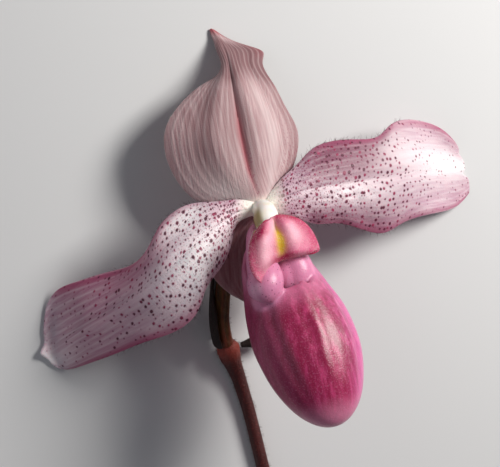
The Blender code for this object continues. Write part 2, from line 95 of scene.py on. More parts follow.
def seen_at(points):
    """Portrait points as x, y, z in millimetres: each lies on its line of sight, at its height."""
    points = np.asarray(points, float)
    eye = FLOWER_CENTRE + TOWARD * VIEW_DISTANCE
    drawn = FLOWER_CENTRE + points[..., :1] * RIGHT + points[..., 1:2] * UP
    reach = (points[..., 2:3] - eye[2]) / (drawn[..., 2:3] - eye[2])
    return eye + reach * (drawn - eye)


# %% [markdown]
# ## Camera, floor and light
#
# The camera stands half a metre off with a long lens, as for a flower portrait. A long lens keeps
# the pouch, which is nearest, from looking swollen. The floor is a plain pale sheet. One soft light
# stands to the right like a window, and a wide weak one keeps the left side from going black.

# %% Camera
FRAME_WIDTH = 100.0
SENSOR = 36.0


def add_camera(across=-2.4, above=-5.3):
    data = bpy.data.cameras.new("portrait")
    camera = bpy.data.objects.new("portrait", data)
    bpy.context.scene.collection.objects.link(camera)
    data.sensor_width = SENSOR
    data.lens = VIEW_DISTANCE * SENSOR / FRAME_WIDTH
    data.clip_start = 0.01
    place = FLOWER_CENTRE + RIGHT * across + UP * above + TOWARD * VIEW_DISTANCE
    turn = Matrix([(r, u, t) for r, u, t in zip(RIGHT, UP, TOWARD)]).to_4x4()
    turn.translation = Vector(place * MM)
    camera.matrix_world = turn
    bpy.context.scene.camera = camera
    return camera


print("lens", round(add_camera().data.lens), "mm")

# %% One way to add a shader node, and hex colours


def linear(colour):
    """An sRGB hex colour as linear red, green, blue and alpha."""
    parts = [int(colour[i:i + 2], 16) / 255 for i in (1, 3, 5)]
    return tuple(c / 12.92 if c <= 0.04045 else ((c + 0.055) / 1.055) ** 2.4 for c in parts) + (1.0,)


def node(tree, kind, settings=None, **inputs):
    """Adds a node. Settings go on it. Inputs are numbers, hex colours or other nodes' outputs, by the
    socket's name, or by i and its number."""
    made = tree.nodes.new("ShaderNode" + kind)
    for name, value in (settings or {}).items():
        setattr(made, name, value)
    for name, value in inputs.items():
        key = int(name[1:]) if name[0] == "i" and name[1:].isdigit() else name.replace("_", " ")
        socket = made.inputs[key]
        if isinstance(value, bpy.types.NodeSocket):
            tree.links.new(value, socket)
        elif isinstance(value, str):
            socket.default_value = linear(value)
        else:
            socket.default_value = value
    return made


# %% Floor and lights


def add_floor(size=1.6, drop=0.05 * MM):
    """A matt card sheet. It lies a hair below the flower, so that nothing flickers where they touch."""
    mesh = bpy.data.meshes.new("floor")
    signs = ((-1, -1), (1, -1), (1, 1), (-1, 1))
    mesh.from_pydata([(x * size / 2, y * size / 2, -drop) for x, y in signs], [], [(0, 1, 2, 3)])
    floor = bpy.data.objects.new("floor", mesh)
    bpy.context.scene.collection.objects.link(floor)
    material = bpy.data.materials.new("matt_card")
    material.use_nodes = True
    shader = material.node_tree.nodes["Principled BSDF"]
    shader.inputs["Base Color"].default_value = linear("#DBDCDD")
    shader.inputs["Roughness"].default_value = 0.85
    mesh.materials.append(material)
    floor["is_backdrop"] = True


def add_soft_light(name, aim, distance, size, watts, colour="#FFFFFF"):
    """A square area light, aimed at the flower from right, up and toward shares of the portrait."""
    data = bpy.data.lights.new(name, "AREA")
    data.size = size
    data.energy = watts
    data.color = linear(colour)[:3]
    lamp = bpy.data.objects.new(name, data)
    bpy.context.scene.collection.objects.link(lamp)
    way = RIGHT * aim[0] + UP * aim[1] + TOWARD * aim[2]
    way /= np.linalg.norm(way)
    lamp.location = Vector((FLOWER_CENTRE + way * distance) * MM)
    lamp.rotation_euler = Vector(way).to_track_quat("Z", "Y").to_euler()


add_floor()
add_soft_light("window", (0.82, 0.44, 0.47), 330, 0.15, 1.32, "#FFFBF6")
add_soft_light("room_left", (-0.55, 0.05, 0.8), 700, 0.6, 0.56, "#F2F1FA")
world = bpy.data.worlds.new("studio")
bpy.context.scene.world = world
world.use_nodes = True
world.node_tree.nodes["Background"].inputs["Color"].default_value = linear("#C4C8CF")
world.node_tree.nodes["Background"].inputs["Strength"].default_value = 0.20
bpy.context.scene.view_settings.view_transform = "Standard"

# %% [markdown]
# ## Curves that run along a petal
#
# A sepal or petal is a fleshy sheet a millimetre thick. It could be sculpted or simulated, but
# its look comes from its outline and from a few folds that run from base to tip. So each one is
# lofted on three rails: two margins and the rib, each a smooth spline through points. Every row of
# the sheet is the parabola through its three rail points, and low folds are added on top of it.

# %% Splines and soft steps


def spline(stations, shares):
    """A natural cubic spline through evenly numbered stations, read at shares of its length, 0 to 1."""
    p = np.asarray(stations, float)
    p = p if p.ndim > 1 else p[:, None]
    last = len(p) - 1
    system = 4 * np.eye(last + 1) + np.eye(last + 1, k=1) + np.eye(last + 1, k=-1)
    system[0, 0] = system[-1, -1] = 2
    pull = np.empty_like(p)
    pull[1:-1] = 3 * (p[2:] - p[:-2])
    pull[0] = 3 * (p[1] - p[0])
    pull[-1] = 3 * (p[-1] - p[-2])
    slope = np.linalg.solve(system, pull)
    station = np.clip(np.asarray(shares, float), 0, 1) * last
    i = np.minimum(station.astype(int), last - 1)
    t = (station - i)[..., None]
    return (
        p[i] * (1 + 2 * t) * (1 - t) ** 2
        + slope[i] * t * (1 - t) ** 2
        + p[i + 1] * t**2 * (3 - 2 * t)
        + slope[i + 1] * t**2 * (t - 1)
    )


def ease(value, start, end):
    """0 before start, 1 after end, and smooth between."""
    t = np.clip((value - start) / (end - start), 0, 1)
    return t * t * (3 - 2 * t)


def bump(value, centre, width):
    return np.exp(-(((value - centre) / width) ** 2))


def soft_noise(x, y, seed, waves=14):
    """A smooth field of about -1 to 1: a few sine waves in fixed directions, the same on every run."""
    draw = np.random.RandomState(seed)
    total = 0 * x
    for _ in range(waves):
        angle, phase = draw.uniform(0, 2 * math.pi), draw.uniform(0, 6.3)
        pitch = draw.uniform(0.6, 1.8)
        total += np.sin((x * math.cos(angle) + y * math.sin(angle)) * pitch + phase)
    return total / math.sqrt(waves)


# %% [markdown]
# ## From a grid of points to a closed blade
#
# The grid is the middle of the sheet. Two skins lie half a thickness to either side of it and meet
# in a rounded margin, because a petal's edge is soft. Each point also keeps its distance in
# millimetres from the base and from the rib, so that a material can draw veins and spots that
# follow the petal as it bends.

# %% Normals, sheets and mesh objects


def surface_normals(grid):
    along = np.gradient(grid, axis=0)
    across = np.gradient(grid, axis=1)
    normals = np.cross(along, across)
    return normals / np.maximum(np.linalg.norm(normals, axis=-1, keepdims=True), 1e-9)


def sheet_quads(rows, columns, around=False):
    """Corner numbers of a grid's squares. A grid that goes around closes on its first column."""
    wrap = columns if around else columns - 1
    i, j = np.meshgrid(np.arange(rows - 1), np.arange(wrap), indexing="ij")
    a, b = i * columns + j, i * columns + (j + 1) % columns
    return np.stack([a, b, b + columns, a + columns], -1).reshape(-1, 4)


def add_mesh(name, points, faces, material, **values):
    """An object from points in millimetres, with named values on its points for the material."""
    mesh = bpy.data.meshes.new(name)
    mesh.from_pydata((np.asarray(points) * MM).tolist(), [], [tuple(map(int, f)) for f in faces])
    for key, value in values.items():
        value = np.asarray(value, np.float32)
        kind = "FLOAT" if value.ndim == 1 else "FLOAT_VECTOR"
        attribute = mesh.attributes.new(key, kind, "POINT")
        attribute.data.foreach_set("value" if kind == "FLOAT" else "vector", value.ravel())
    shape = bmesh.new()
    shape.from_mesh(mesh)
    bmesh.ops.recalc_face_normals(shape, faces=shape.faces)
    if shape.calc_volume(signed=True) < 0:
        bmesh.ops.reverse_faces(shape, faces=shape.faces)
    shape.to_mesh(mesh)
    shape.free()
    mesh.shade_smooth()
    mesh.materials.append(material)
    piece = bpy.data.objects.new(name, mesh)
    bpy.context.scene.collection.objects.link(piece)
    return piece


def stand_for(piece, slot, *nodes):
    """The piece rides on the one body and stands for CAD nodes, which are hidden. The slot is not used."""
    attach(piece, "root")
    if nodes:
        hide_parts(*nodes)
    print(piece.name, len(piece.data.polygons), "faces")


# %% Lofting a blade


def straight_end(t):
    return 1 + 0 * t


def loft(rails, rows, columns, end=straight_end):
    """Portrait points of a blade, with each point's share along and across."""
    across = np.sin(np.linspace(-1, 1, columns) * math.pi / 2.2) / math.sin(math.pi / 2.2)
    s, t = np.meshgrid(np.linspace(0, 1, rows), across, indexing="ij")
    reach = s * end(t)
    left, rib, right = (spline(rail, reach) for rail in rails)
    t3 = t[..., None]
    return left * t3 * (t3 - 1) / 2 + rib * (1 - t3 * t3) + right * t3 * (t3 + 1) / 2, s, t


def lengths(grid):
    """Millimetres along from the base, and across from the rib."""
    along = np.linalg.norm(np.diff(grid, axis=0, prepend=grid[:1]), axis=2).cumsum(0)
    across = np.linalg.norm(np.diff(grid, axis=1, prepend=grid[:, :1]), axis=2).cumsum(1)
    return along, across - across[:, grid.shape[1] // 2, None]


def two_skins(grid, thickness, s, t):
    """Upper and lower skins that meet at the margin. What would sink into the table is pressed flat."""
    # High powers keep a blade full up to its margin and then round it off.
    sides, ends = np.maximum(1 - np.abs(t) ** 14, 0), np.maximum(1 - (2 * s - 1) ** 40, 0)
    rim = np.sqrt(sides) * np.sqrt(ends)
    half = surface_normals(grid) * (thickness * rim)[..., None] / 2
    half *= np.sign(half[..., 2:].mean())
    upper, lower = grid + half, grid - half
    lower[..., 2] = np.maximum(lower[..., 2], 0)
    upper[..., 2] = np.maximum(upper[..., 2], lower[..., 2])
    return upper, lower


def add_blade(name, grid, thickness, s, t, material, **values):
    """A closed blade whose two skins share the points of their margin."""
    upper, lower = two_skins(grid, thickness, s, t)
    rows, columns = s.shape
    number = np.arange(rows * columns).reshape(rows, columns)
    inside = number[1:-1, 1:-1].ravel()
    below = number.copy().ravel()
    below[inside] = rows * columns + np.arange(len(inside))
    quads = sheet_quads(rows, columns)
    faces = np.concatenate([quads, below[quads][:, ::-1]])
    points = np.concatenate([upper.reshape(-1, 3), lower.reshape(-1, 3)[inside]])
    along, across = lengths(grid)
    values["mm"] = np.stack([across, along, 0 * s], -1)
    flat = {}
    for key, value in values.items():
        value = value.reshape(rows * columns, *value.shape[2:])
        flat[key] = np.concatenate([value, value[inside]])
    return add_mesh(name, points, faces, material, **flat)


# %% [markdown]
# ## Petal skin: living petal, waxy, veined and spotted
#
# A petal is clear cells over a pale pulp: light sinks in a little, and the skin has a soft sheen.
# Its pigment lies in layers: white ground, lilac wash, a magenta margin, pale raised veins, and
# maroon spots that sit in rows between the veins. Painted shade and painted light lie among them,
# where a petal turns away from the light or towards it. Each layer is drawn from the distances
# that are stored on the points, so a spot keeps its real size, 0.2 to 0.8 mm across.

# %% Masks, and layers of pigment


def where(tree, *steps):
    """A mask: its steps, multiplied. A step is the name of a value stored on the points, a number,
    a pattern, or a pattern with where it starts to show and where it is full."""
    mask = None
    for step in steps:
        if isinstance(step, str):
            step = node(tree, "Attribute", {"attribute_name": step}).outputs["Fac"]
        elif isinstance(step, tuple):
            soft = {"interpolation_type": "SMOOTHSTEP"}
            step = node(tree, "MapRange", soft, Value=step[0], i1=step[1], i2=step[2]).outputs[0]
        if mask is None:
            mask = step
        else:
            mask = node(tree, "Math", {"operation": "MULTIPLY"}, i0=mask, i1=step).outputs[0]
    return mask


def lay(tree, ground, *layers):
    """Pigments laid one over another, as in a real skin. A layer is a colour and its mask's steps."""
    for pigment, *steps in layers:
        mask = where(tree, *steps)
        mixed = node(tree, "Mix", {"data_type": "RGBA"}, i0=mask, i6=ground, i7=pigment)
        ground = mixed.outputs[2]
    return ground


def grains(tree, place, *patterns):
    """Soft noises. A pattern is its patches to the millimetre in three directions, and its detail."""
    made = []
    for across, along, through, detail, *roughness in patterns:
        spread = {"i0": place, "i1": (across, along, through)}
        stretched = node(tree, "VectorMath", {"operation": "MULTIPLY"}, **spread).outputs[0]
        noise = node(tree, "TexNoise", None, Vector=stretched, Scale=1.0, Detail=detail)
        noise.inputs["Roughness"].default_value = roughness[0] if roughness else 0.5
        made.append(noise.outputs["Fac"])
    return made


def object_mm(tree):
    """Places in the object in millimetres, for a pattern that doesn't follow a piece's length."""
    here = node(tree, "TexCoord").outputs["Object"]
    return node(tree, "VectorMath", {"operation": "MULTIPLY"}, i0=here, i1=(1 / MM,) * 3).outputs[0]


# %% A living skin
SKIN_IOR = 1.42
COAT_ROUGHNESS = 0.25
# Shares of the depth for red, green and blue: red light goes furthest through living tissue.
FLESH_REACH = (1.0, 0.45, 0.5)


def new_skin(name, roughness, flesh, depth_mm, coat=0.0):
    """A living skin: its shader, with light that sinks in by a share and to a depth."""
    material = bpy.data.materials.new(name)
    material.use_nodes = True
    tree = material.node_tree
    shader = tree.nodes["Principled BSDF"]
    shader.inputs["Roughness"].default_value = roughness
    shader.inputs["IOR"].default_value = SKIN_IOR
    shader.inputs["Subsurface Weight"].default_value = flesh
    shader.inputs["Subsurface Radius"].default_value = FLESH_REACH
    shader.inputs["Subsurface Scale"].default_value = depth_mm * MM
    shader.inputs["Coat Weight"].default_value = coat
    shader.inputs["Coat Roughness"].default_value = COAT_ROUGHNESS
    return material, tree, shader


def paint(tree, shader, colour, depth_mm, *parts):
    """Links the skin's colour, and the sum of the relief's parts. Each part is a mask's steps."""
    tree.links.new(colour, shader.inputs["Base Color"])
    height = where(tree, *parts[0])
    for part in parts[1:]:
        more = where(tree, *part)
        height = node(tree, "Math", {"operation": "ADD"}, i0=height, i1=more).outputs[0]
    lift = node(tree, "Bump", None, Height=height, Distance=depth_mm * MM, Strength=1.0)
    tree.links.new(lift.outputs[0], shader.inputs["Normal"])


# %% Petal material


def petal_spots(tree, frays):
    """One spot to a cell: how far a place is outside it, if the cell has one, and its pigment.
    Small flecks come from a second, finer set of cells."""
    cells = node(tree, "Attribute", {"attribute_name": "cells"}).outputs["Vector"]
    flat = {"voronoi_dimensions": "2D"}
    spots = node(tree, "TexVoronoi", flat, Vector=cells, Scale=1.0, Randomness=0.82)
    size, place, tone = node(tree, "SeparateColor", None, Color=spots.outputs["Color"]).outputs
    larger = node(tree, "Math", {"operation": "ADD"}, i0=size, i1=0.45).outputs[0]
    uneven = {"i0": frays, "i1": 0.10, "i2": spots.outputs["Distance"]}
    edge = node(tree, "Math", {"operation": "MULTIPLY_ADD"}, **uneven).outputs[0]
    reach = where(tree, "spot", larger)
    away = node(tree, "Math", {"operation": "SUBTRACT"}, i0=edge, i1=reach).outputs[0]
    crowd = where(tree, "crowd")
    there = node(tree, "Math", {"operation": "LESS_THAN"}, i0=place, i1=crowd).outputs[0]
    pigment = lay(tree, "#520D2B", ("#9A2650", (tone, 0.4, 0.9)))
    flecks = node(tree, "TexVoronoi", flat, Vector=cells, Scale=1.75).outputs["Distance"]
    return away, there, pigment, flecks


def petal_skin():
    """From the ground up: lilac streaks and patches, painted shade and light, blush, veins, flecks, spots,
    cream.
    """
    material, tree, shader = new_skin("spotted_petal_skin", 0.38, 0.18, 1.2)
    mm = node(tree, "Attribute", {"attribute_name": "mm"}).outputs["Vector"]
    patches, streaks = grains(tree, mm, (0.35, 0.12, 1, 3), (1.6, 0.16, 1, 3))
    pucker, fine, frays = grains(tree, mm, (1.1, 2.6, 1, 2), (4, 4, 4, 2), (5, 5, 5, 1))
    away, there, pigment, flecks = petal_spots(tree, frays)
    # The shade layer is painted shade. The pale layer is pale pigment towards the ends, and painted light
    # and painted highlights where a petal faces the light.
    colour = lay(
        tree, "#DCC4CE",
        ("#C8A0B4", (streaks, 0.35, 0.7)),
        ("#B98AA0", (patches, 0.45, 0.75), 0.4),
        ("#87586A", "shade"),
        ("#FFF6F9", "pale"),
        ("#A63A68", "blush", 0.9),
        ("#F1E6EC", "veins", "pale_veins"),
        ("#8C2A52", (flecks, 0.22, 0.12), "flecks"),
        ("#A2406F", (away, 0.22, -0.02), there, 0.3),
        (pigment, (away, 0.05, -0.07), there, 0.93),
        ("#FBF2E8", "cream"),
    )
    raised_spot = ((away, 0.05, -0.07), there, 0.4)
    paint(tree, shader, colour, 0.16, (pucker, "pucker"), (fine, 0.4), raised_spot)
    return material


PETAL_SKIN = petal_skin()
print("made", PETAL_SKIN.name)

# %% [markdown]
# ## The two petals
#
# The left petal droops and turns half over on its way out, so its upper half faces the viewer at the
# base and its lower half at the tip. The right one is held level, broad, with a wavy, notched end.
# Their veins fan out from the base. They are raised by a tenth of a millimetre, in the mesh itself.

# %% Rails of the petals
LEFT_PETAL_UPPER = [
    (-1.2, 0.9, 16.6), (-4.7, 1.5, 17.0), (-8.4, 1.1, 16.4), (-12.4, 0.9, 15.4),
    (-16.4, -0.2, 14.4), (-20.2, -3.4, 13.6), (-22.2, -7.2, 12.8), (-25.4, -11.2, 11.4),
    (-30.8, -13.0, 8.8), (-36.8, -14.8, 5.4), (-41.4, -17.0, 1.6), (-43.8, -21.6, 0.5),
]
LEFT_PETAL_RIB = [
    (-1.1, -0.3, 16.8), (-4.7, -0.9, 17.5), (-7.6, -2.6, 18.6), (-10.6, -5.0, 19.8),
    (-14.0, -8.2, 20.4), (-17.4, -11.4, 20.2), (-21.4, -15.0, 18.6), (-25.6, -18.2, 15.4),
    (-30.8, -21.4, 11.0), (-36.4, -24.6, 6.6), (-41.0, -27.6, 0.9), (-44.4, -29.0, 1.6),
]
LEFT_PETAL_LOWER = [
    (-1.1, -1.5, 16.6), (-5.1, -3.4, 17.0), (-6.2, -7.6, 18.2), (-8.4, -12.4, 20.0),
    (-11.2, -16.4, 21.4), (-13.0, -21.2, 21.6), (-17.4, -25.0, 19.6), (-23.2, -27.0, 15.4),
    (-28.8, -29.2, 10.0), (-34.4, -31.2, 5.0), (-38.8, -32.4, 0.9), (-40.8, -31.6, 1.4),
]
RIGHT_PETAL_UPPER = [
    (0.6, 1.2, 16.5), (3.6, 5.4, 15.7), (7.0, 8.6, 14.8), (10.2, 11.8, 14.0), (14.6, 13.4, 12.8),
    (19.2, 13.7, 11.4), (23.2, 14.3, 10.2), (26.0, 16.8, 9.6), (30.2, 17.7, 8.0), (35.6, 16.2, 4.0),
    (39.0, 13.0, 1.2),
]
RIGHT_PETAL_RIB = [
    (0.8, 0.2, 16.9), (4.2, 1.9, 17.6), (7.6, 3.2, 17.8), (11.2, 4.0, 17.4), (15.2, 4.6, 16.6),
    (19.6, 5.4, 15.2), (24.4, 6.2, 13.4), (28.8, 7.0, 11.2), (33.6, 7.6, 6.6), (37.9, 7.6, 1.8),
    (41.2, 7.4, 0.15),
]
RIGHT_PETAL_LOWER = [
    (0.9, -0.8, 16.6), (4.6, -1.6, 16.8), (7.8, -2.5, 16.2), (11.2, -3.3, 15.4), (15.4, -3.2, 14.6),
    (19.8, -4.3, 13.4), (24.4, -5.0, 11.6), (28.4, -2.9, 9.2), (33.6, -1.2, 6.4), (38.6, 0.2, 2.4),
    (41.6, 3.2, 0.4),
]
print("stations along the petals:", len(LEFT_PETAL_RIB), "and", len(RIGHT_PETAL_RIB))

# %% Folds, veins and ends of the petals
PETAL_VEINS = 6.5


def vein_lines(s, t, count, wander=0.12):
    """1 along each vein and 0 between. The veins fan out with the blade and waver a little."""
    place = t * count + wander * soft_noise(s * 9, t * 5, 4) + 0.5
    return np.exp(-((np.abs(place - np.round(place)) / 0.13) ** 2))


def petal_folds(s, t):
    """The relief that the solid has too: low waves on the outer half, and a groove over the rib."""
    waves = 0.5 * np.sin(s * 17 + t * 1.5) * t**2 * ease(s, 0.15, 0.4) * ease(1 - s, 0.0, 0.2)
    return waves - 0.35 * ease(s, 0.0, 0.15) * ease(1 - s, 0.0, 0.3) * bump(t, 0, 0.12)


def petal_detail(s, t, side):
    """What the solid leaves out: ridges beside the veins, and ripples of the margin."""
    fade = ease(s, 0.05, 0.25) * (1 - 0.8 * ease(s, 0.45, 0.65))
    veins = 0.09 * vein_lines(s, t, PETAL_VEINS) * fade
    ripple = 0.22 * ease(abs(t), 0.55, 1) * soft_noise(s * 26, t * 3, side)
    swell = 0.10 * soft_noise(s * 30, t * 7, side + 7)
    return veins + (ripple + swell) * ease(s, 0.08, 0.2) * ease(1 - s, 0.0, 0.1)


def left_end(t):
    """A short, blunt point by the rib."""
    return 0.972 + 0.028 * bump(t, 0.08, 0.2) - 0.006 * bump(t, -0.3, 0.15)


def right_end(t):
    """Three shallow scallops with notches between them."""
    notch = 0.016 * bump(t, -0.62, 0.12) + 0.028 * bump(t, 0.06, 0.13) + 0.008 * bump(t, -0.2, 0.08)
    return 1 - notch


def petal_thickness(t):
    return 0.62 + 0.38 * bump(t, 0, 0.3)


# %% Values that the petal's material reads


def spot_cells(grid, seed):
    """Places on a lattice of cells, one spot to a cell. Cells grow from 0.6 to 1.25 mm up the blade."""
    along, across = lengths(grid)
    half = np.ptp(across, axis=1) / 2
    cell = np.clip(half / 6.6, 0.60, 1.25)
    middle = along.mean(1)
    steps = (np.diff(middle, prepend=0) / cell).cumsum()
    cell = cell[:, None] + 0 * along
    down = steps[:, None] + 0.25 * (along - middle[:, None]) / cell
    return np.stack([across / cell + seed, down, 0 * along], -1), cell


def petal_values(grid, s, t, seed, spot_mm, crowd, **washes):
    """Spots, veins, pigment washes, painted shade and light. The base fades to the column's cream."""
    cells, cell = spot_cells(grid, seed)
    return {
        "veins": vein_lines(s, t, PETAL_VEINS) * ease(s, 0.05, 0.3),
        "cells": cells,
        "spot": np.clip(spot_mm / cell, 0.05, 0.5),
        "crowd": crowd,
        "pale_veins": 0.08 + 0.22 * ease(s, 0.6, 0.9),
        "flecks": 0.75 * ease(s, 0.05, 0.12) * ease(1 - s, 0.35, 0.75),
        "cream": 1 - ease(s, 0.035, 0.135),
        "pucker": 0.5 * bump(t, 0.25, 0.35) * bump(s, 0.45, 0.25) + 0.2,
    } | {name: np.clip(wash, 0, 1) for name, wash in washes.items()}


# %% Left petal


def left_petal():
    rails = (LEFT_PETAL_UPPER, LEFT_PETAL_RIB, LEFT_PETAL_LOWER)
    drawn, s, t = loft(rails, rows=200, columns=100, end=left_end)
    drawn[..., 2] += petal_folds(s, t) + petal_detail(s, t, 3)
    drawn[..., 2] += 2.0 * ease(-t, 0.35, 1.0) * bump(s, 0.54, 0.14)
    grid = seen_at(drawn)
    margin = ease(abs(t), 0.72, 1.02)
    # Painted light over the inner half and a painted highlight by the upper margin; pale pigment at the
    # tip.
    pale = bump(t, 0.3, 0.8) * bump(s, 0.36, 0.24) + bump(t, -0.72, 0.25) * bump(s, 0.4, 0.14)
    pale += bump(s, 1.0, 0.12) * bump(t, 0.35, 0.45)
    blush = 0.7 * margin * ease(s, 0.2, 0.5) * ease(1 - s, 0.02, 0.1)
    blush += 0.5 * bump(t, -0.7, 0.4) * bump(s, 0.6, 0.16)
    blush += 0.22 * bump(t, -0.5, 0.5) * bump(s, 0.18, 0.1)
    blush += 0.36 * ease(s, 0.4, 0.75) * ease(1 - s, 0.0, 0.15)
    # Painted shade over the outer half, which turns away from the light.
    shade = 0.3 * ease(s, 0.55, 0.85) * (0.5 + 0.5 * bump(t, -0.6, 0.6)) * ease(1 - s, 0.0, 0.2)
    crowd = 0.95 - 0.6 * ease(s, 0.5, 0.95)
    spot = 0.20 + 0.09 * ease(s, 0.08, 0.3) - 0.11 * ease(s, 0.6, 0.95)
    values = petal_values(grid, s, t, 11.3, spot, crowd, pale=pale, blush=blush, shade=shade)
    blade = add_blade("left_petal", grid, petal_thickness(t), s, t, PETAL_SKIN, **values)
    stand_for(blade, "petal", "petal_left")
    return grid


LEFT_GRID = left_petal()

# %% Right petal


def right_petal():
    rails = (RIGHT_PETAL_UPPER, RIGHT_PETAL_RIB, RIGHT_PETAL_LOWER)
    drawn, s, t = loft(rails, rows=200, columns=100, end=right_end)
    drawn[..., 2] += petal_folds(s, t) + petal_detail(s, t, 5)
    drawn[..., 2] += 0.12 * soft_noise(s * 60, t * 22, 9) * bump(t, 0.28, 0.16) * bump(s, 0.45, 0.2)
    grid = seen_at(drawn)
    margin = ease(abs(t), 0.75, 1.02)
    # Pale pigment at the end and in streaks before it, and painted light in the middle of the lower half.
    pale = bump(t, -0.15, 0.4) * ease(s, 0.66, 0.92) + 0.65 * bump(t, 0.25, 0.3) * bump(s, 0.45, 0.24)
    pale += 0.5 * bump(t, -0.4, 0.4) * bump(s, 0.7, 0.13)
    blush = 0.7 * margin * ease(s, 0.15, 0.5)
    blush += 0.22 * ease(s, 0.75, 0.95) * (1 - bump(t, -0.15, 0.4))
    # Painted shade over the upper half and the middle, less where the painted light lies.
    shade = (0.8 + 0.2 * ease(-t, 0.1, 0.4)) * ease(s, 0.14, 0.34) * (1 - ease(s, 0.5, 0.85))
    shade *= 1 - 0.75 * bump(t, 0.25, 0.3)
    crowd = 0.97 - 0.6 * ease(s, 0.5, 0.95)
    spot = 0.21 + 0.09 * ease(s, 0.08, 0.35) - 0.13 * ease(s, 0.55, 0.9)
    values = petal_values(grid, s, t, 41.7, spot, crowd, pale=pale, blush=blush, shade=shade)
    blade = add_blade("right_petal", grid, petal_thickness(t), s, t, PETAL_SKIN, **values)
    stand_for(blade, "petal", "petal_right")
    return grid


RIGHT_GRID = right_petal()

# %% [markdown]
# ## The sepals
#
# The dorsal sepal stands above the flower as a hood, its rib sunk between two folds, its left
# shoulder folded back at the neck, and its tip drawn out to a red beak. The two lower sepals are
# grown into one blade behind the pouch. Both are duller and more finely striped than the petals.

# %% Sepal material


def sepal_skin():
    """A drier, duller skin: grey-brown streaks run with the veins, under a few red freckles."""
    material, tree, shader = new_skin("striped_sepal_skin", 0.5, 0.18, 1.2)
    mm = node(tree, "Attribute", {"attribute_name": "mm"}).outputs["Vector"]
    streaks, broad = grains(tree, mm, (2.2, 0.09, 1, 4, 0.6), (0.45, 0.06, 1, 2))
    fine, = grains(tree, mm, (4, 4, 4, 1))
    spread = node(tree, "VectorMath", {"operation": "MULTIPLY"}, i0=mm, i1=(1.5, 1.1, 1.0)).outputs[0]
    dots = node(tree, "TexVoronoi", {"voronoi_dimensions": "2D"}, Vector=spread, Scale=1.0)
    # The shade layer is painted shade. The pale layer is painted light on the ridges and low on the left,
    # and paler margins on the lower sepal.
    colour = lay(
        tree, "#CEB3B5",
        ("#AE888C", (streaks, 0.34, 0.66)),
        ("#9C7578", (broad, 0.42, 0.7), 0.4),
        ("#7E575B", "shade"),
        ("#E6DADA", "pale"),
        ("#E0CDCE", "veins", 0.3),
        ("#A8424F", "blush"),
        ("#8A3556", (dots.outputs["Distance"], 0.24, 0.13), "freckles"),
        ("#FBF2E8", "cream"),
    )
    paint(tree, shader, colour, 0.14, (streaks,), (fine, 0.4))
    return material


SEPAL_SKIN = sepal_skin()
print("made", SEPAL_SKIN.name)

# %% Rails of the sepals
DORSAL_LEFT = [
    (-1.4, 0.0, 16.0), (-6.6, 0.6, 14.6), (-11.8, 0.8, 13.0), (-15.6, 3.4, 11.8),
    (-18.4, 7.8, 10.8), (-19.6, 12.6, 10.0), (-18.8, 17.0, 9.0), (-16.0, 21.0, 7.8),
    (-12.2, 24.3, 6.2), (-9.2, 25.9, 4.4), (-7.5, 28.4, 3.0), (-8.0, 31.1, 1.8), (-9.3, 33.6, 0.8),
    (-10.5, 35.5, 0.3),
]
DORSAL_RIB = [
    (-0.2, -0.6, 16.3), (-1.3, 2.6, 16.4), (-2.6, 6.0, 16.1), (-3.3, 8.4, 15.8), (-4.0, 11.4, 15.2),
    (-4.7, 14.6, 14.3), (-5.2, 17.8, 13.1), (-5.7, 21.2, 11.6), (-6.1, 24.2, 9.9),
    (-6.4, 26.6, 8.2), (-6.8, 29.0, 6.3), (-7.7, 31.4, 3.6), (-8.9, 33.7, 1.2), (-10.2, 35.8, 0.3),
]
DORSAL_RIGHT = [
    (1.2, -0.4, 16.0), (3.7, 3.6, 14.9), (5.6, 6.8, 13.5), (6.7, 9.4, 12.2), (7.3, 12.4, 11.0),
    (7.1, 15.5, 10.0), (5.9, 18.2, 9.2), (4.4, 20.8, 8.2), (2.8, 24.0, 7.0), (1.2, 26.5, 5.9),
    (0.2, 29.2, 4.6), (0.0, 31.4, 3.0), (-5.0, 33.0, 1.2), (-9.8, 35.7, 0.3),
]
SYNSEPAL_LEFT = [
    (-1.5, -0.8, 15.4), (-5.0, -2.2, 14.4), (-8.4, -5.8, 13.2), (-10.2, -9.8, 12.2),
    (-10.2, -13.0, 11.6), (-8.6, -15.4, 11.0), (-6.0, -17.5, 10.6), (-2.4, -19.2, 10.2),
]
SYNSEPAL_RIB = [
    (-0.2, -2.5, 15.2), (0.2, -5.0, 14.0), (0.6, -7.6, 12.8), (0.8, -10.6, 11.9),
    (1.0, -13.8, 11.2), (1.2, -16.6, 10.7), (1.2, -18.6, 10.3), (1.2, -20.0, 10.0),
]
SYNSEPAL_RIGHT = [
    (1.1, -2.2, 15.2), (4.4, -4.6, 14.0), (7.0, -7.0, 13.0), (8.2, -10.0, 12.2), (8.2, -13.0, 11.6),
    (7.6, -15.6, 11.0), (6.0, -17.8, 10.6), (3.6, -19.4, 10.2),
]
print("stations along the sepals:", len(DORSAL_RIB), "and", len(SYNSEPAL_RIB))

# %% Dorsal sepal
DORSAL_VEINS = 9.5


def dorsal_folds(s, t):
    """The rib lies in a groove between two low folds, which run from base to tip."""
    fade = ease(s, 0.02, 0.4) * ease(1 - s, 0.12, 0.4)
    return fade * (1.1 * bump(abs(t), 0.32, 0.2) - 0.4 * bump(t, 0, 0.12))


def dorsal_detail(s, t):
    fade = ease(s, 0.03, 0.3) * ease(1 - s, 0.05, 0.3)
    groove = -0.45 * bump(t, 0.03, 0.06) * fade
    second = 0.4 * bump(t, 0.5, 0.1) * fade - 0.5 * bump(t, 0.66, 0.07) * fade
    veins = 0.07 * vein_lines(s, t, DORSAL_VEINS) * fade
    return groove + second + veins + 0.12 * soft_noise(s * 14, t * 6, 21) * fade


def sepal_thickness(t):
    return 0.6 + 0.45 * bump(t, 0, 0.25)


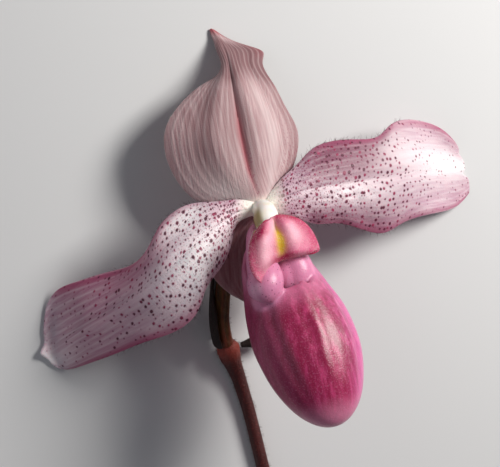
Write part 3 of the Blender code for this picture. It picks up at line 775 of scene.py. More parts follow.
def dorsal_washes(s, t):
    """Painted shade in the folds and on the neck, painted light on ridges, red rib and beak, freckles."""
    # Painted shade: in the groove, over the left half, by the right margin and over the neck.
    shade = 0.6 * bump(t, -0.5, 0.28) * ease(1 - s, 0.25, 0.5) + 0.55 * bump(t, 0.1, 0.16)
    shade += 0.5 * bump(t, -0.16, 0.12) * ease(s, 0.15, 0.4) + 0.5 * ease(t, 0.72, 0.9)
    shade += 0.95 * ease(s, 0.58, 0.76) * ease(1 - s, 0.05, 0.15)
    # Painted light: a highlight along a ridge, and a lighter patch low on the left.
    pale = 0.35 * bump(t, 0.52, 0.1) * ease(1 - s, 0.3, 0.5)
    pale += 0.6 * bump(t, -0.6, 0.4) * (1 - ease(s, 0.1, 0.35))
    blush = 0.85 * bump(t, 0.03, 0.06) * ease(s, 0.02, 0.2) * ease(1 - s, 0.35, 0.6)
    blush += 0.9 * ease(s, 0.93, 1.0) + 0.4 * ease(s, 0.75, 0.9) * ease(t, 0.7, 1)
    freckles = 0.5 * ease(t, 0.6, 0.8) * bump(s, 0.25, 0.2)
    freckles += 0.8 * bump(t, 0.06, 0.08) * ease(1 - s, 0.6, 0.8)
    freckles += 0.3 * bump(t, -0.85, 0.12) * ease(1 - s, 0.4, 0.7)
    return {
        "shade": np.clip(shade, 0, 0.95),
        "pale": np.clip(pale, 0, 1),
        "blush": np.clip(blush, 0, 1),
        "freckles": freckles,
        "veins": vein_lines(s, t, DORSAL_VEINS) * ease(s, 0.05, 0.3),
        "cream": 1 - ease(s, 0.01, 0.085),
    }


def dorsal_sepal():
    drawn, s, t = loft((DORSAL_LEFT, DORSAL_RIB, DORSAL_RIGHT), rows=220, columns=110)
    drawn[..., 2] += dorsal_folds(s, t) + dorsal_detail(s, t)
    grid = seen_at(drawn)
    thick, washes = sepal_thickness(t), dorsal_washes(s, t)
    blade = add_blade("dorsal_sepal_skin", grid, thick, s, t, SEPAL_SKIN, **washes)
    stand_for(blade, "sepal", "dorsal_sepal")
    return grid


DORSAL_GRID = dorsal_sepal()

# %% Joined lower sepal
LOWER_VEINS = 8.5


def lower_sepal():
    drawn, s, t = loft((SYNSEPAL_LEFT, SYNSEPAL_RIB, SYNSEPAL_RIGHT), rows=120, columns=80)
    veins = vein_lines(s, t, LOWER_VEINS)
    drawn[..., 2] += 0.5 * ease(s, 0.05, 0.3) * bump(abs(t), 0.35, 0.2)
    drawn[..., 2] += 0.07 * veins * ease(s, 0.05, 0.3) * ease(1 - s, 0.0, 0.1)
    even = {"shade": 0.35, "blush": 0.25, "freckles": 0.2, "cream": 0.0}
    washes = {name: share + 0 * s for name, share in even.items()}
    washes |= {"veins": veins, "pale": 0.2 * ease(abs(t), 0.7, 1)}
    thick = sepal_thickness(t)
    blade = add_blade("joined_lower_sepal", seen_at(drawn), thick, s, t, SEPAL_SKIN, **washes)
    stand_for(blade, "sepal", "synsepal")


lower_sepal()

# %% [markdown]
# ## Sweeping a tube
#
# Lobes, column, ovary and stem are all swept: rings of points round a path, where the radius
# changes from ring to ring. A curve with a bevel could do it too, but rings in a grid keep their
# shares along and around, and ridges, rough skin and stains of pigment are worked out from those.

# %% Sweeping a tube


def ring_frames(path, level=False):
    """For points along a path: two directions square to it, side and top."""
    forward = np.gradient(path, axis=0)
    forward /= np.linalg.norm(forward, axis=1, keepdims=True)
    if level:
        side = np.cross(forward, [0.0, 0.0, 1.0])
        side /= np.linalg.norm(side, axis=1, keepdims=True)
        return side, np.cross(side, forward)
    start = np.cross(forward[0], [0.0, 0.0, 1.0])
    side = [start if np.linalg.norm(start) > 0.3 else np.array([1.0, 0.0, 0.0])]
    for ahead in forward:
        turned = side[-1] - ahead * (side[-1] @ ahead)
        side.append(turned / np.linalg.norm(turned))
    side = np.array(side[1:])
    return side, np.cross(side, forward)


def tube_rings(path, radii, sides, level=False, ridge=None):
    """Rings round a path. A ridge function of share and angle swells or hollows the radius."""
    side, top = ring_frames(path, level)
    turns = np.arange(sides) * 2 * math.pi / sides
    s, turn = np.meshgrid(np.linspace(0, 1, len(path)), turns, indexing="ij")
    radius = radii[:, None] * (1 + (ridge(s, turn) if ridge else 0))
    spoke = np.cos(turn)[..., None] * side[:, None] + np.sin(turn)[..., None] * top[:, None]
    rings = path[:, None] + radius[..., None] * spoke
    rings[..., 2] = np.maximum(rings[..., 2], 0)
    return rings, s, turn


def rounded_ends(rings, s, steps=4):
    """Adds shrinking rings at each end, so that a tube closes in a dome and not in a flat cap."""
    first, last = [], []
    for end, out, row in ((rings[0], first, 0), (rings[-1], last, -1)):
        middle = end.mean(0)
        beyond = rings[0] - rings[1] if row == 0 else rings[-1] - rings[-2]
        beyond = beyond.mean(0)
        beyond *= np.linalg.norm(end[0] - middle) / np.linalg.norm(beyond)
        for k in range(1, steps + 1):
            lift = math.sin(k / (steps + 0.6) * math.pi / 2)
            out.append(middle + (end - middle) * math.sqrt(1 - lift**2) + beyond * lift * 0.35)
    rings = np.concatenate([first[::-1], rings, last])
    rings[..., 2] = np.maximum(rings[..., 2], 0)
    return rings, np.pad(s, ((steps, steps), (0, 0)), mode="edge")


def fans(ring, middle, flip=False):
    """Triangles from a ring of corner numbers to a middle point."""
    after = np.roll(ring, -1)
    return [(b, a, middle) if flip else (a, b, middle) for a, b in zip(ring, after)]


def tube_faces(rows, sides):
    """Squares between the rings, and a fan over each end. The middles come after the rings' points."""
    faces = [tuple(q) for q in sheet_quads(rows, sides, around=True)]
    faces += fans(np.arange(sides), rows * sides, True)
    return faces + fans(np.arange(sides) + (rows - 1) * sides, rows * sides + 1)


def add_tube(name, rings, material, **values):
    """A closed tube. Each value is given for every point of its rings."""
    rows, sides = rings.shape[:2]
    points = np.concatenate([rings.reshape(-1, 3), [rings[0].mean(0), rings[-1].mean(0)]])
    for key, value in values.items():
        value = value.ravel()
        values[key] = np.concatenate([value, value[:1], value[-1:]])
    return add_mesh(name, points, tube_faces(rows, sides), material, **values)


# %% [markdown]
# ## The lip: a pouch with a rolled mouth
#
# The slipper that gives the flower its name is an inflated pouch. Its wall rises from a closed toe,
# widest a third of the way up, to a thin rim in front. At the sides the margin rolls inwards in two
# fat lobes that nearly close the mouth. The wall is swept: rings up a curved axis, each with its own
# width and depth. The two lobes and the fold between them are thick tubes laid along the mouth. A
# voxel remesh then melts wall and tubes into one skin, as a modeller smooths joined pieces of clay.

# %% The lip's measures
LIP_WALL = 0.8
LIP_RIM_RADIUS = 0.5
LIP_VOXEL = 0.25
LIP_SMOOTHINGS = 4
LIP_AXIS = [
    (1.7, -42.7, 17.0), (1.6, -36.3, 14.2), (1.1, -28.2, 10.2), (0.55, -21.7, 6.9),
    (0.0, -15.8, 4.0), (-0.3, -10.2, 1.5), (-0.2, -3.7, -0.2),
]
LIP_HALF_WIDTH = [7.8, 8.9, 10.0, 9.5, 7.7, 5.6, 1.9]
LIP_HALF_DEPTH = [5.6, 6.8, 8.2, 8.1, 6.6, 4.2, 0.9]
LIP_TOE = 0.3
# Every 15 degrees round the mouth, front to back: how high the wall reaches along the axis.
LIP_CREST = [0.583, 0.585, 0.60, 0.635, 0.68, 0.73, 0.79, 0.85, 0.91, 0.955, 0.98, 0.995, 1.0]
# The rolled lobes: a tube's line on the portrait plane with its height and radius, mouth to claw.
LEFT_LOBE = [
    (0.0, -17.6, 27.6, 2.9), (0.4, -16.2, 28.0, 3.6), (0.6, -14.2, 27.2, 3.5),
    (-0.4, -11.0, 24.8, 2.9), (-1.3, -8.0, 22.2, 2.0), (-1.8, -5.6, 19.8, 1.3),
    (-1.4, -3.8, 17.8, 0.7),
]
RIGHT_LOBE = [
    (7.6, -17.6, 21.8, 3.0), (7.0, -15.2, 23.2, 4.0), (6.5, -12.6, 23.7, 3.9),
    (5.7, -9.9, 22.9, 3.1), (4.5, -7.3, 21.0, 2.1), (3.0, -5.2, 19.0, 1.2), (1.6, -3.8, 17.6, 0.7),
]
# Between the lobes a fold of the margin closes the mouth.
MOUTH_FOLD = [
    (4.9, -18.2, 21.6, 2.4), (4.9, -15.6, 23.8, 2.9), (4.7, -12.8, 24.2, 2.7),
    (4.2, -10.0, 22.8, 1.8),
]
# A painted highlight, low on the left lobe.
LIP_PAINTED_HIGHLIGHT = (-1.4, -16.8, 30.2)


def lip_frame(w):
    """The lip's axis point at w, and its directions: sideways, towards the viewer, towards the claw."""
    centre = spline(LIP_AXIS, w)
    ahead = spline(LIP_AXIS, w + 0.01) - spline(LIP_AXIS, w - 0.01)
    ahead /= np.linalg.norm(ahead, axis=1, keepdims=True)
    side = np.array([1.0, 0.0, 0.0]) - ahead * ahead[:, :1]
    side /= np.linalg.norm(side, axis=1, keepdims=True)
    return centre, side, np.cross(side, ahead), ahead


# %% Rings of the wall, and a thin rim


def lip_swell(w, turn):
    """What the solid leaves out: faint long ribs and a slightly uneven skin, in millimetres."""
    ribs = 0.10 * np.sin(turn * 11 + 1.5 * np.sin(w * 5)) + 0.06 * np.sin(turn * 19 + 1)
    return (ribs + 0.12 * soft_noise(w * 22, turn * 3, 31)) * ease(w, 0.05, 0.3)


def lip_wall_ring(share, turn, crest):
    """One ring of the lip's wall, at this share of the way from the toe up to the crest."""
    w = crest * share
    centre, side, front, _ = lip_frame(w)
    toe = np.sqrt(1 - (1 - np.minimum(w / LIP_TOE, 1)) ** 2)
    swell = lip_swell(w, turn)
    wide = spline(LIP_HALF_WIDTH, w)[:, 0] * toe + swell
    deep = spline(LIP_HALF_DEPTH, w)[:, 0] * toe + swell
    sideways, forwards = (wide * np.sin(turn))[:, None], (deep * np.cos(turn))[:, None]
    return centre + sideways * side + forwards * front


def lip_crest(turn):
    """Height of the mouth's edge: a small tooth right of the middle in front, and a dip on the left."""
    off_front = np.minimum(turn % (2 * math.pi), -turn % (2 * math.pi))
    right = (turn + math.pi) % (2 * math.pi) - math.pi
    tooth = 0.020 * bump(right, math.radians(10), math.radians(3.2))
    tooth -= 0.012 * bump(right, math.radians(20), 0.2)
    dip = 0.05 * bump(right, math.radians(-50), 0.4)
    return spline(LIP_CREST, off_front / math.pi)[..., 0] + tooth - dip


def lip_wall(rows, rim_rows, sides):
    """The middle skin of the wall, from toe to crest, with a rim that turns in by a third of a circle."""
    turn = np.linspace(0, 2 * math.pi, sides, endpoint=False)
    crest = lip_crest(turn)
    # The rings lie closer together at the toe, which curves most.
    climb = ((np.arange(rows) + 0.15) / (rows - 0.85)) ** 1.35
    wall = np.array([lip_wall_ring(share, turn, crest) for share in climb])
    _, side, front, ahead = lip_frame(crest)
    inward = -side * np.sin(turn)[:, None] - front * np.cos(turn)[:, None]
    rim = []
    for phi in np.linspace(0, math.radians(120), rim_rows + 1)[1:]:
        rim.append(wall[-1] + LIP_RIM_RADIUS * (inward * (1 - np.cos(phi)) + ahead * np.sin(phi)))
    return np.concatenate([wall, rim]) + FLOWER_CENTRE


# %% Wall skins and lobes as separate closed meshes


def ring_normals(grid):
    along = np.gradient(grid, axis=0)
    around = (np.roll(grid, -1, axis=1) - np.roll(grid, 1, axis=1)) / 2
    normals = np.cross(around, along)
    return normals / np.maximum(np.linalg.norm(normals, axis=2, keepdims=True), 1e-9)


def wall_mesh(rows=90, rim_rows=8, sides=160):
    """Points and faces of the wall: an outer and an inner skin that meet round the rim."""
    grid = lip_wall(rows, rim_rows, sides)
    total = len(grid)
    half = ring_normals(grid) * LIP_WALL / 2
    toe = grid[0].mean(0)
    below = toe - grid[3].mean(0)
    below *= LIP_WALL / 2 / np.linalg.norm(below)
    count = total * sides
    outer, inner = (grid + half).reshape(-1, 3), (grid - half).reshape(-1, 3)
    points = np.concatenate([outer, inner, [toe + below], [toe - below]])
    quads = sheet_quads(total, sides, around=True)
    last = np.arange(sides) + (total - 1) * sides
    after = np.roll(last, -1)
    edge = np.stack([last, after, after + count, last + count], -1)
    faces = [tuple(q) for q in np.concatenate([quads, quads[:, ::-1] + count, edge])]
    faces += fans(np.arange(sides), 2 * count, True) + fans(np.arange(sides) + count, 2 * count + 1)
    return points, faces


# %% Melt wall and lobes into one skin


def lobe_tube(line, rows=50, sides=40):
    """A lobe's rings, domed at both ends, and its line in x, y, z with the radius."""
    share = np.linspace(0, 1, rows)
    drawn = spline(line, share)
    path = seen_at(drawn[:, :3])
    rings, s, _ = tube_rings(path, drawn[:, 3], sides)
    return rounded_ends(rings, s, 6)[0], np.column_stack([path, drawn[:, 3]])


def melt(shapes):
    """Closed meshes that overlap, made one skin by a voxel remesh, then smoothed a little."""
    mesh = bpy.data.meshes.new("melting")
    points, faces = [], []
    for shape_points, shape_faces in shapes:
        first = sum(len(p) for p in points)
        points.append(shape_points)
        faces += [tuple(int(i) + first for i in face) for face in shape_faces]
    mesh.from_pydata((np.concatenate(points) * MM).tolist(), [], faces)
    rough = bpy.data.objects.new("melting", mesh)
    bpy.context.scene.collection.objects.link(rough)
    modifier = rough.modifiers.new("voxels", "REMESH")
    modifier.mode = "VOXEL"
    modifier.voxel_size = LIP_VOXEL * MM
    graph = bpy.context.evaluated_depsgraph_get()
    melted = bpy.data.meshes.new_from_object(rough.evaluated_get(graph))
    bpy.data.objects.remove(rough)
    shape = bmesh.new()
    shape.from_mesh(melted)
    every_way = {"use_axis_x": True, "use_axis_y": True, "use_axis_z": True}
    for _ in range(LIP_SMOOTHINGS):
        bmesh.ops.smooth_vert(shape, verts=shape.verts, factor=0.5, **every_way)
    points = np.array([v.co for v in shape.verts]) / MM
    faces = [tuple(v.index for v in f.verts) for f in shape.faces]
    normals = np.array([v.normal for v in shape.verts])
    shape.free()
    return points, faces, normals


def lip_values(points, normals, lobes):
    """Where a point is on the lip: shares sideways, forwards and up, lobe, painted light inside, painted
    highlight.
    """
    w = np.linspace(0, 1, 160)
    centre, side, front, _ = lip_frame(w)
    offset = points - FLOWER_CENTRE
    near = np.array([np.argmin(((centre - p) ** 2).sum(1)) for p in offset])
    out = offset - centre[near]
    across = (out * side[near]).sum(1) / spline(LIP_HALF_WIDTH, w)[near, 0]
    forward = (out * front[near]).sum(1) / spline(LIP_HALF_DEPTH, w)[near, 0]
    height = w[near] / lip_crest(np.arctan2(across, forward))
    way = side[near] * across[:, None] + front[near] * forward[:, None]
    way /= np.maximum(np.linalg.norm(way, axis=1, keepdims=True), 1e-9)
    # Painted light on the inner side of the wall, which lies in shade.
    inner = ease(-(normals * way).sum(1), 0.0, 0.4) * ease(1.15 - height, 0.0, 0.2)
    lobe = np.zeros(len(points))
    for line in lobes:
        for place in line[::3]:
            gap = np.linalg.norm(points - place[:3], axis=1) / place[3]
            lobe = np.maximum(lobe, 1 - ease(gap, 0.95, 1.35))
    # A painted highlight round one point, low on the left lobe.
    glow = 1 - ease(np.linalg.norm(points - seen_at(LIP_PAINTED_HIGHLIGHT), axis=1), 0.3, 2.1)
    ring = np.stack([across, forward, height], 1)
    return {"ring": ring, "lobe": lobe, "under": inner, "glow": glow}


def add_lip(material):
    lobes = [lobe_tube(line) for line in (LEFT_LOBE, RIGHT_LOBE, MOUTH_FOLD)]
    shapes = [wall_mesh()]
    for rings, _ in lobes:
        ends = [rings[0].mean(0), rings[-1].mean(0)]
        shapes.append((np.concatenate([rings.reshape(-1, 3), ends]), tube_faces(*rings.shape[:2])))
    points, faces, normals = melt(shapes)
    values = lip_values(points, normals, [line for _, line in lobes])
    return add_mesh("lip_pouch_skin", points, faces, material, **values)


# %% [markdown]
# ### Lip skin
#
# The pouch is firm and waxy, more glossy than the petals: rose-magenta, with darker streaks that run
# down it, a paler rim and tiny maroon dots on the rolled lobes. Painted shade darkens its left
# flank; painted light lightens its right flank and the inside of its wall, and a painted highlight
# sits low on the left lobe.

# %% Lip material


def lip_skin():
    """A coat over the skin gives the wax its second, softer highlight."""
    material, tree, shader = new_skin("waxy_lip_skin", 0.34, 0.22, 1.6, coat=0.25)
    ring = node(tree, "Attribute", {"attribute_name": "ring"}).outputs["Vector"]
    side, front, height = node(tree, "SeparateXYZ", None, Vector=ring).outputs
    place = object_mm(tree)
    streaks, mottle, fine = grains(
        tree, place, (0.9, 0.12, 0.9, 3, 0.6), (0.45, 0.45, 0.45, 4, 0.6), (3.2, 3.2, 3.2, 2)
    )
    dots = node(tree, "TexVoronoi", None, Vector=place, Scale=1.6).outputs["Distance"]
    colour = lay(
        tree, "#CE457C",
        ("#A42255", (streaks, 0.32, 0.7)),
        ("#BE3A70", (mottle, 0.4, 0.7), 0.5),
        # Painted shade on the left flank, and painted light on the right flank, where the light falls.
        ("#7E1640", (side, 0.15, -0.9), 0.55),
        ("#F08CCB", (side, 0.2, 0.9), 0.55),
        ("#880F3C", (front, 0.45, 0.95), (streaks, 0.2, 0.6), 0.75),
        ("#E697B6", (height, 0.22, 0.02), 0.65),
        ("#E088AE", (height, 0.78, 1.02), 0.55),
        ("#EEA3CA", "lobe", 0.5),
        ("#7A1A45", (dots, 0.24, 0.13), "lobe", (side, 0.14, 0.0), 0.9),
        # Painted light on the inner side of the wall.
        ("#E9A3BF", "under", 0.5),
        ("#E79CBD", (fine, 0.5, 0.75), 0.18),
        # A painted highlight low on the left lobe.
        ("#FBC9E0", "glow", 0.45),
    )
    paint(tree, shader, colour, 0.06, (fine,), (mottle, 1.5))
    return material


stand_for(add_lip(lip_skin()), "lip", "lip_pouch")

# %% [markdown]
# ## The shield in the middle
#
# The staminode is a stamen that makes no pollen and has grown into a shield of two cushions with a
# groove between them. It is salmon pink with crimson edges and a gold stripe, and velvety, since it
# wears short white hairs. The cushions are folds of one blade; the hairs come at the end.

# %% Shield material


def shield_skin():
    material, tree, shader = new_skin("velvet_shield_skin", 0.5, 0.2, 1.4)
    shader.inputs["Sheen Weight"].default_value = 0.25
    shader.inputs["Sheen Roughness"].default_value = 0.4
    mm = node(tree, "Attribute", {"attribute_name": "mm"}).outputs["Vector"]
    patches, fine = grains(tree, mm, (0.5, 0.5, 0.5, 3), (3, 3, 3, 2))
    colour = lay(
        tree, "#D85A88",
        ("#EA88AA", (patches, 0.35, 0.7)),
        # The light layer is painted light on the cushions, with a paler patch near the top.
        ("#F9C2D0", "light"),
        ("#B41250", "crimson"),
        ("#DDB22C", "gold"),
        ("#F6D9D8", (fine, 0.52, 0.75), 0.3),
    )
    paint(tree, shader, colour, 0.10, (patches,), (fine,))
    return material


# %% Shield
STAMINODE_LEFT = [
    (0.6, -3.0, 27.0), (-1.2, -4.8, 27.4), (-2.3, -6.8, 27.8), (-2.8, -9.2, 28.6),
    (-2.6, -11.8, 29.6), (-1.7, -14.1, 30.4), (-0.2, -15.5, 30.8),
]
STAMINODE_RIB = [
    (1.9, -2.2, 27.2), (2.3, -3.6, 28.2), (2.7, -5.2, 28.9), (3.1, -6.9, 29.4), (3.3, -8.6, 29.3),
    (3.2, -10.0, 28.7), (2.6, -11.2, 27.8),
]
STAMINODE_RIGHT = [
    (3.3, -1.8, 26.6), (6.0, -2.0, 26.4), (8.4, -3.1, 26.2), (10.1, -5.0, 26.1), (11.2, -7.3, 26.8),
    (11.4, -8.8, 27.5), (10.2, -9.3, 28.1),
]


def shield_folds(s, t):
    fade = ease(s, 0.0, 0.25) * ease(1 - s, 0.0, 0.2)
    cushions = 1.2 * fade * bump(abs(t), 0.47, 0.26) - 0.35 * ease(s, 0.0, 0.2) * bump(t, 0, 0.2)
    return cushions + 0.08 * soft_noise(s * 16, t * 6, 51) * fade


def shield_washes(s, t):
    """Crimson round the edges and in the notch, a gold stripe down the groove, painted light on the
    cushions.
    """
    notch = bump(t, 0.12, 0.4) * ease(s, 0.7, 0.88)
    crimson = (1 - ease(s, 0.05, 0.3)) * ease(t, 0.1, 0.4) + bump(s, 0.22, 0.14) * ease(-t, 0.3, 0.7)
    crimson += 0.95 * (ease(-t, 0.35, 0.8) + ease(t, 0.5, 0.9)) * (1 - 0.65 * s)
    crimson += 1.3 * notch + 0.8 * ease(t, 0.2, 0.6) * ease(s, 0.84, 1.0)
    gold = 1.4 * bump(t, 0.06, 0.15) * bump(s, 0.52, 0.3) * (1 - ease(s, 0.74, 0.88))
    # Painted light: a highlight on the right cushion, and light on the left one, which turns from the
    # light, with a paler patch near the top.
    light = 0.8 * bump(t, 0.5, 0.25) * bump(s, 0.45, 0.25)
    light += 0.9 * bump(t, -0.5, 0.3) * bump(s, 0.6, 0.4) + 0.9 * bump(t, -0.1, 0.25) * bump(s, 0.2, 0.2)
    washes = {"crimson": crimson, "gold": gold, "light": light}
    return {name: np.clip(wash, 0, 1) for name, wash in washes.items()}


def shield():
    rails = (STAMINODE_LEFT, STAMINODE_RIB, STAMINODE_RIGHT)
    drawn, s, t = loft(rails, rows=110, columns=130)
    drawn[..., 2] += shield_folds(s, t) + 1.3 * ease(-t, 0.2, 1.0)
    grid = seen_at(drawn)
    thick = 0.85 + 0.3 * bump(abs(t), 0.4, 0.3)
    blade = add_blade("velvet_shield", grid, thick, s, t, shield_skin(), **shield_washes(s, t))
    stand_for(blade, "staminode", "staminode")
    return grid


SHIELD_GRID = shield()

# %% [markdown]
# ## Column, pollen masses, ovary and stem
#
# These are all swept tubes. The column is a creamy, smooth wedge, with an olive painted shade on its
# left side. The ovary has six low ridges. The stem is round, dark red and hairy, and lies on the
# table. Rings near the table are flattened on it, as the weight does.

# %% Column material: cream, moist and smooth


def column_skin():
    material, tree, shader = new_skin("cream_column_skin", 0.32, 0.3, 2.0)
    patches, = grains(tree, object_mm(tree), (0.5, 0.5, 0.5, 2))
    # The olive layer is painted shade.
    colour = lay(tree, "#FFFEF8", ("#FDF7E6", (patches, 0.35, 0.7)), ("#A8955A", "olive"))
    paint(tree, shader, colour, 0.1, (patches,))
    return material


def pollen_skin():
    """Pollen in a smear of wax: gold-brown and granular."""
    material, tree, shader = new_skin("waxy_pollen", 0.55, 0.1, 0.8)
    lumps = node(tree, "TexVoronoi", None, Vector=object_mm(tree), Scale=5.0).outputs["Distance"]
    colour = lay(tree, "#A98A3E", ("#D5BE74", (lumps, 0.1, 0.7)))
    paint(tree, shader, colour, 0.08, (lumps,))
    return material


COLUMN_SKIN, POLLEN = column_skin(), pollen_skin()
print("made", COLUMN_SKIN.name, POLLEN.name)

# %% Column and pollen masses
COLUMN_LINE = [
    (0.0, -0.3, -0.6), (-0.3, -0.9, 2.0), (-1.1, -1.8, 4.3), (-1.6, -3.2, 6.2), (-1.3, -5.4, 6.9),
    (-0.8, -7.1, 5.5),
]
# Ridges and a rough skin come on top of these tubes' radii, so each starts a little inside its solid.
INSIDE_SOLID = 0.97
COLUMN_RADIUS = [1.95, 2.3, 2.55, 2.2, 1.5, 1.9]
ANTHER_CENTRES = {"anther_left": (-4.4, -4.6, 7.3), "anther_right": (1.9, -4.7, 7.3)}
ANTHER_RADII = (1.1, 1.4, 1.0)


def column():
    share = np.linspace(0, 1, 60)
    path = spline(COLUMN_LINE, share) + FLOWER_CENTRE

    def lobes(s, turn):
        return 0.05 * np.cos(2 * turn) + 0.04 * soft_noise(s * 9, turn, 61)

    radii = spline(COLUMN_RADIUS, share)[:, 0] * INSIDE_SOLID
    rings, s, _ = tube_rings(path, radii, 48, ridge=lobes)
    rings, s = rounded_ends(rings, s)
    # Olive painted shade on the left side, which faces away from the light.
    leftward = (rings - rings.mean(1)[:, None]) @ -(RIGHT + 0.35 * UP) / max(COLUMN_RADIUS)
    olive = 0.95 * ease(leftward, 0.0, 0.5) * ease(s, 0.15, 0.45)
    stand_for(add_tube("cream_column", rings, COLUMN_SKIN, olive=olive), "column", "column")


def collar():
    """The cream cup where sepals, petals and lip join, under the column."""
    share = np.linspace(0, 1, 24)
    path = np.array([(0.0, 0.0, -4.6), (-0.1, -0.1, -2.9), (-0.1, -0.2, -1.9)]) + FLOWER_CENTRE
    radii = spline([1.9, 2.4, 1.9], share)[:, 0]

    def lobes(s, turn):
        return 0.05 * np.cos(3 * turn)

    rings, s, _ = tube_rings(spline(path, share), radii, 60, ridge=lobes)
    rings, s = rounded_ends(rings, s)
    # Olive painted shade, stronger towards the collar's lower end.
    stand_for(add_tube("cream_collar", rings, COLUMN_SKIN, olive=0.5 * (1 - s)), "column")


def pollen_mass(name, rows=26, sides=36):
    """An uneven ball. It is a tube whose rings shrink towards both ends."""
    centre = np.array(ANTHER_CENTRES[name]) + FLOWER_CENTRE
    turns = np.arange(sides) * 2 * math.pi / sides
    s, turn = np.meshgrid(np.linspace(0.03, 0.97, rows), turns, indexing="ij")
    lump = 1 + 0.06 * soft_noise(s * 6, turn * 1.0, 71) * np.sin(s * math.pi)
    wide = np.sin(s * math.pi)
    ball = np.stack([np.cos(turn) * wide, np.sin(turn) * wide, -np.cos(s * math.pi)], -1)
    rings = centre + ball * lump[..., None] * np.array(ANTHER_RADII)
    stand_for(add_tube(name + "_pollen", rings, POLLEN), "pollen", name)


column()
collar()
for name in ANTHER_CENTRES:
    pollen_mass(name)

# %% [markdown]
# ### Ovary, bract and stem skins
#
# All three are green tissue under a dark red-brown pigment and a coat of hairs. The ovary shows
# olive between its ridges, the node is rough and rusty, and the stem is a deep wine red.

# %% Ovary, bract and stem materials


def stalk_skin(name, dark, light, ridge, roughness=0.45):
    material, tree, shader = new_skin(name, roughness, 0.08, 0.8)
    streaks, fine = grains(tree, object_mm(tree), (1.6, 0.25, 1.6, 4, 0.6), (3, 3, 3, 3))
    colour = lay(
        tree, dark,
        (light, (streaks, 0.32, 0.68)),
        (ridge, "tint"),
        (ridge, (fine, 0.55, 0.75), 0.35),
    )
    paint(tree, shader, colour, 0.16, (fine,), (streaks,))
    return material


OVARY_SKIN = stalk_skin("olive_ovary_skin", "#45290F", "#6A4A1C", "#803A20")
BRACT_SKIN = stalk_skin("dark_bract_skin", "#140D0A", "#231611", "#34201A", 0.55)
STEM_SKIN = stalk_skin("wine_stem_skin", "#240508", "#3A0B10", "#A0463A")
print("made", OVARY_SKIN.name, BRACT_SKIN.name, STEM_SKIN.name)

# %% Paths of the ovary, stem and bud
OVARY_LINE = [
    (-0.3, 0.1, 16.6), (-0.9, 0.2, 14.8), (-2.2, -1.2, 12.0), (-4.2, -4.4, 9.8), (-6.0, -9.0, 8.2),
    (-7.4, -14.0, 7.0), (-7.9, -19.0, 5.8), (-7.9, -22.6, 4.9), (-7.5, -25.4, 4.1),
    (-7.1, -27.0, 3.2),
]
OVARY_RADIUS = [1.5, 1.9, 1.9, 1.7, 1.65, 1.65, 1.65, 1.6, 1.6, 1.6]

# Stem: from the node to the plain cut. It lies along the surface.
STEM_LINE = [
    (-7.1, -27.1), (-6.75, -28.2), (-5.9, -30.6), (-4.7, -33.6), (-3.6, -37.0), (-2.4, -41.0),
    (-1.1, -46.2), (0.35, -52.0), (1.6, -58.0), (2.5, -65.0), (3.0, -72.0), (3.0, -79.0),
]
STEM_RADIUS = [1.95, 2.4, 1.95, 1.55, 1.4, 1.35, 1.35, 1.35, 1.35, 1.35, 1.38, 1.4]

# Next bud: a short spur that leaves the node on the right and ends in a small bud.
BUD_LINE = [
    (-4.1, -27.4, 2.9), (-3.3, -27.2, 3.0), (-2.2, -26.95, 3.1), (-0.7, -26.6, 3.3),
    (1.0, -26.3, 3.5), (2.6, -26.0, 3.7),
]
BUD_RADIUS = [0.6, 0.75, 1.1, 1.35, 1.2, 0.35]

# Floral bract: a sheath round the lower ovary, open towards the bud.
BRACT_RADIUS = 2.4
BRACT_FROM, BRACT_TO = math.radians(-135), math.radians(45)
BRACT_THICKNESS = 0.65 * 0.95
BRACT_SPAN = (0.56, 0.97)

# %% Ovary


def ovary():
    share = np.linspace(0.04, 1, 110)
    path = seen_at(spline(OVARY_LINE, share))

    def ridges(s, turn):
        return 0.07 * np.cos(6 * turn + 1.5 * s) * ease(s, 0.05, 0.3) * ease(1 - s, 0.0, 0.15)

    radii = spline(OVARY_RADIUS, share)[:, 0] * INSIDE_SOLID
    rings, s, turn = tube_rings(path, radii, 60, ridge=ridges)
    tint = np.clip(0.8 * bump(s, 0.95, 0.12) + 0.4 * np.cos(6 * turn + 1.5 * s), 0, 1)
    stand_for(add_tube("ridged_ovary", rings, OVARY_SKIN, tint=tint), "ovary", "ovary")
    return rings


OVARY_RINGS = ovary()

# %% Stem


def stem():
    share = np.linspace(0, 1, 260)
    radii = spline(STEM_RADIUS, share)[:, 0]
    # A little lower than its radius, so that the stem's underside is pressed flat on the table.
    height = radii * 0.97 - 0.02
    path = seen_at(np.column_stack([spline(STEM_LINE, share), height]))
    path[:, 2] = height

    def knots(s, turn):
        rough = 0.05 * soft_noise(s * 60, turn * 1.0, 81) * bump(s, 0.1, 0.09)
        return rough + 0.012 * soft_noise(s * 30, turn, 82)

    rings, s, _ = tube_rings(path, radii, 48, level=True, ridge=knots)
    tint = np.clip(0.9 * bump(s, 0.08, 0.07) + 0.1, 0, 1)
    stand_for(add_tube("wine_stem", rings, STEM_SKIN, tint=tint), "stem", "stem")
    return rings


STEM_RINGS = stem()

# %% Next bud


def next_bud():
    share = np.linspace(0, 1, 50)
    path = seen_at(spline(BUD_LINE, share))
    rings, s, _ = tube_rings(path, spline(BUD_RADIUS, share)[:, 0] * 0.96, 32)
    stand_for(add_tube("small_bud", rings, BRACT_SKIN, tint=0.3 + 0 * s), "bract", "next_bud")
    return rings


BUD_RINGS = next_bud()

# %% Floral bract


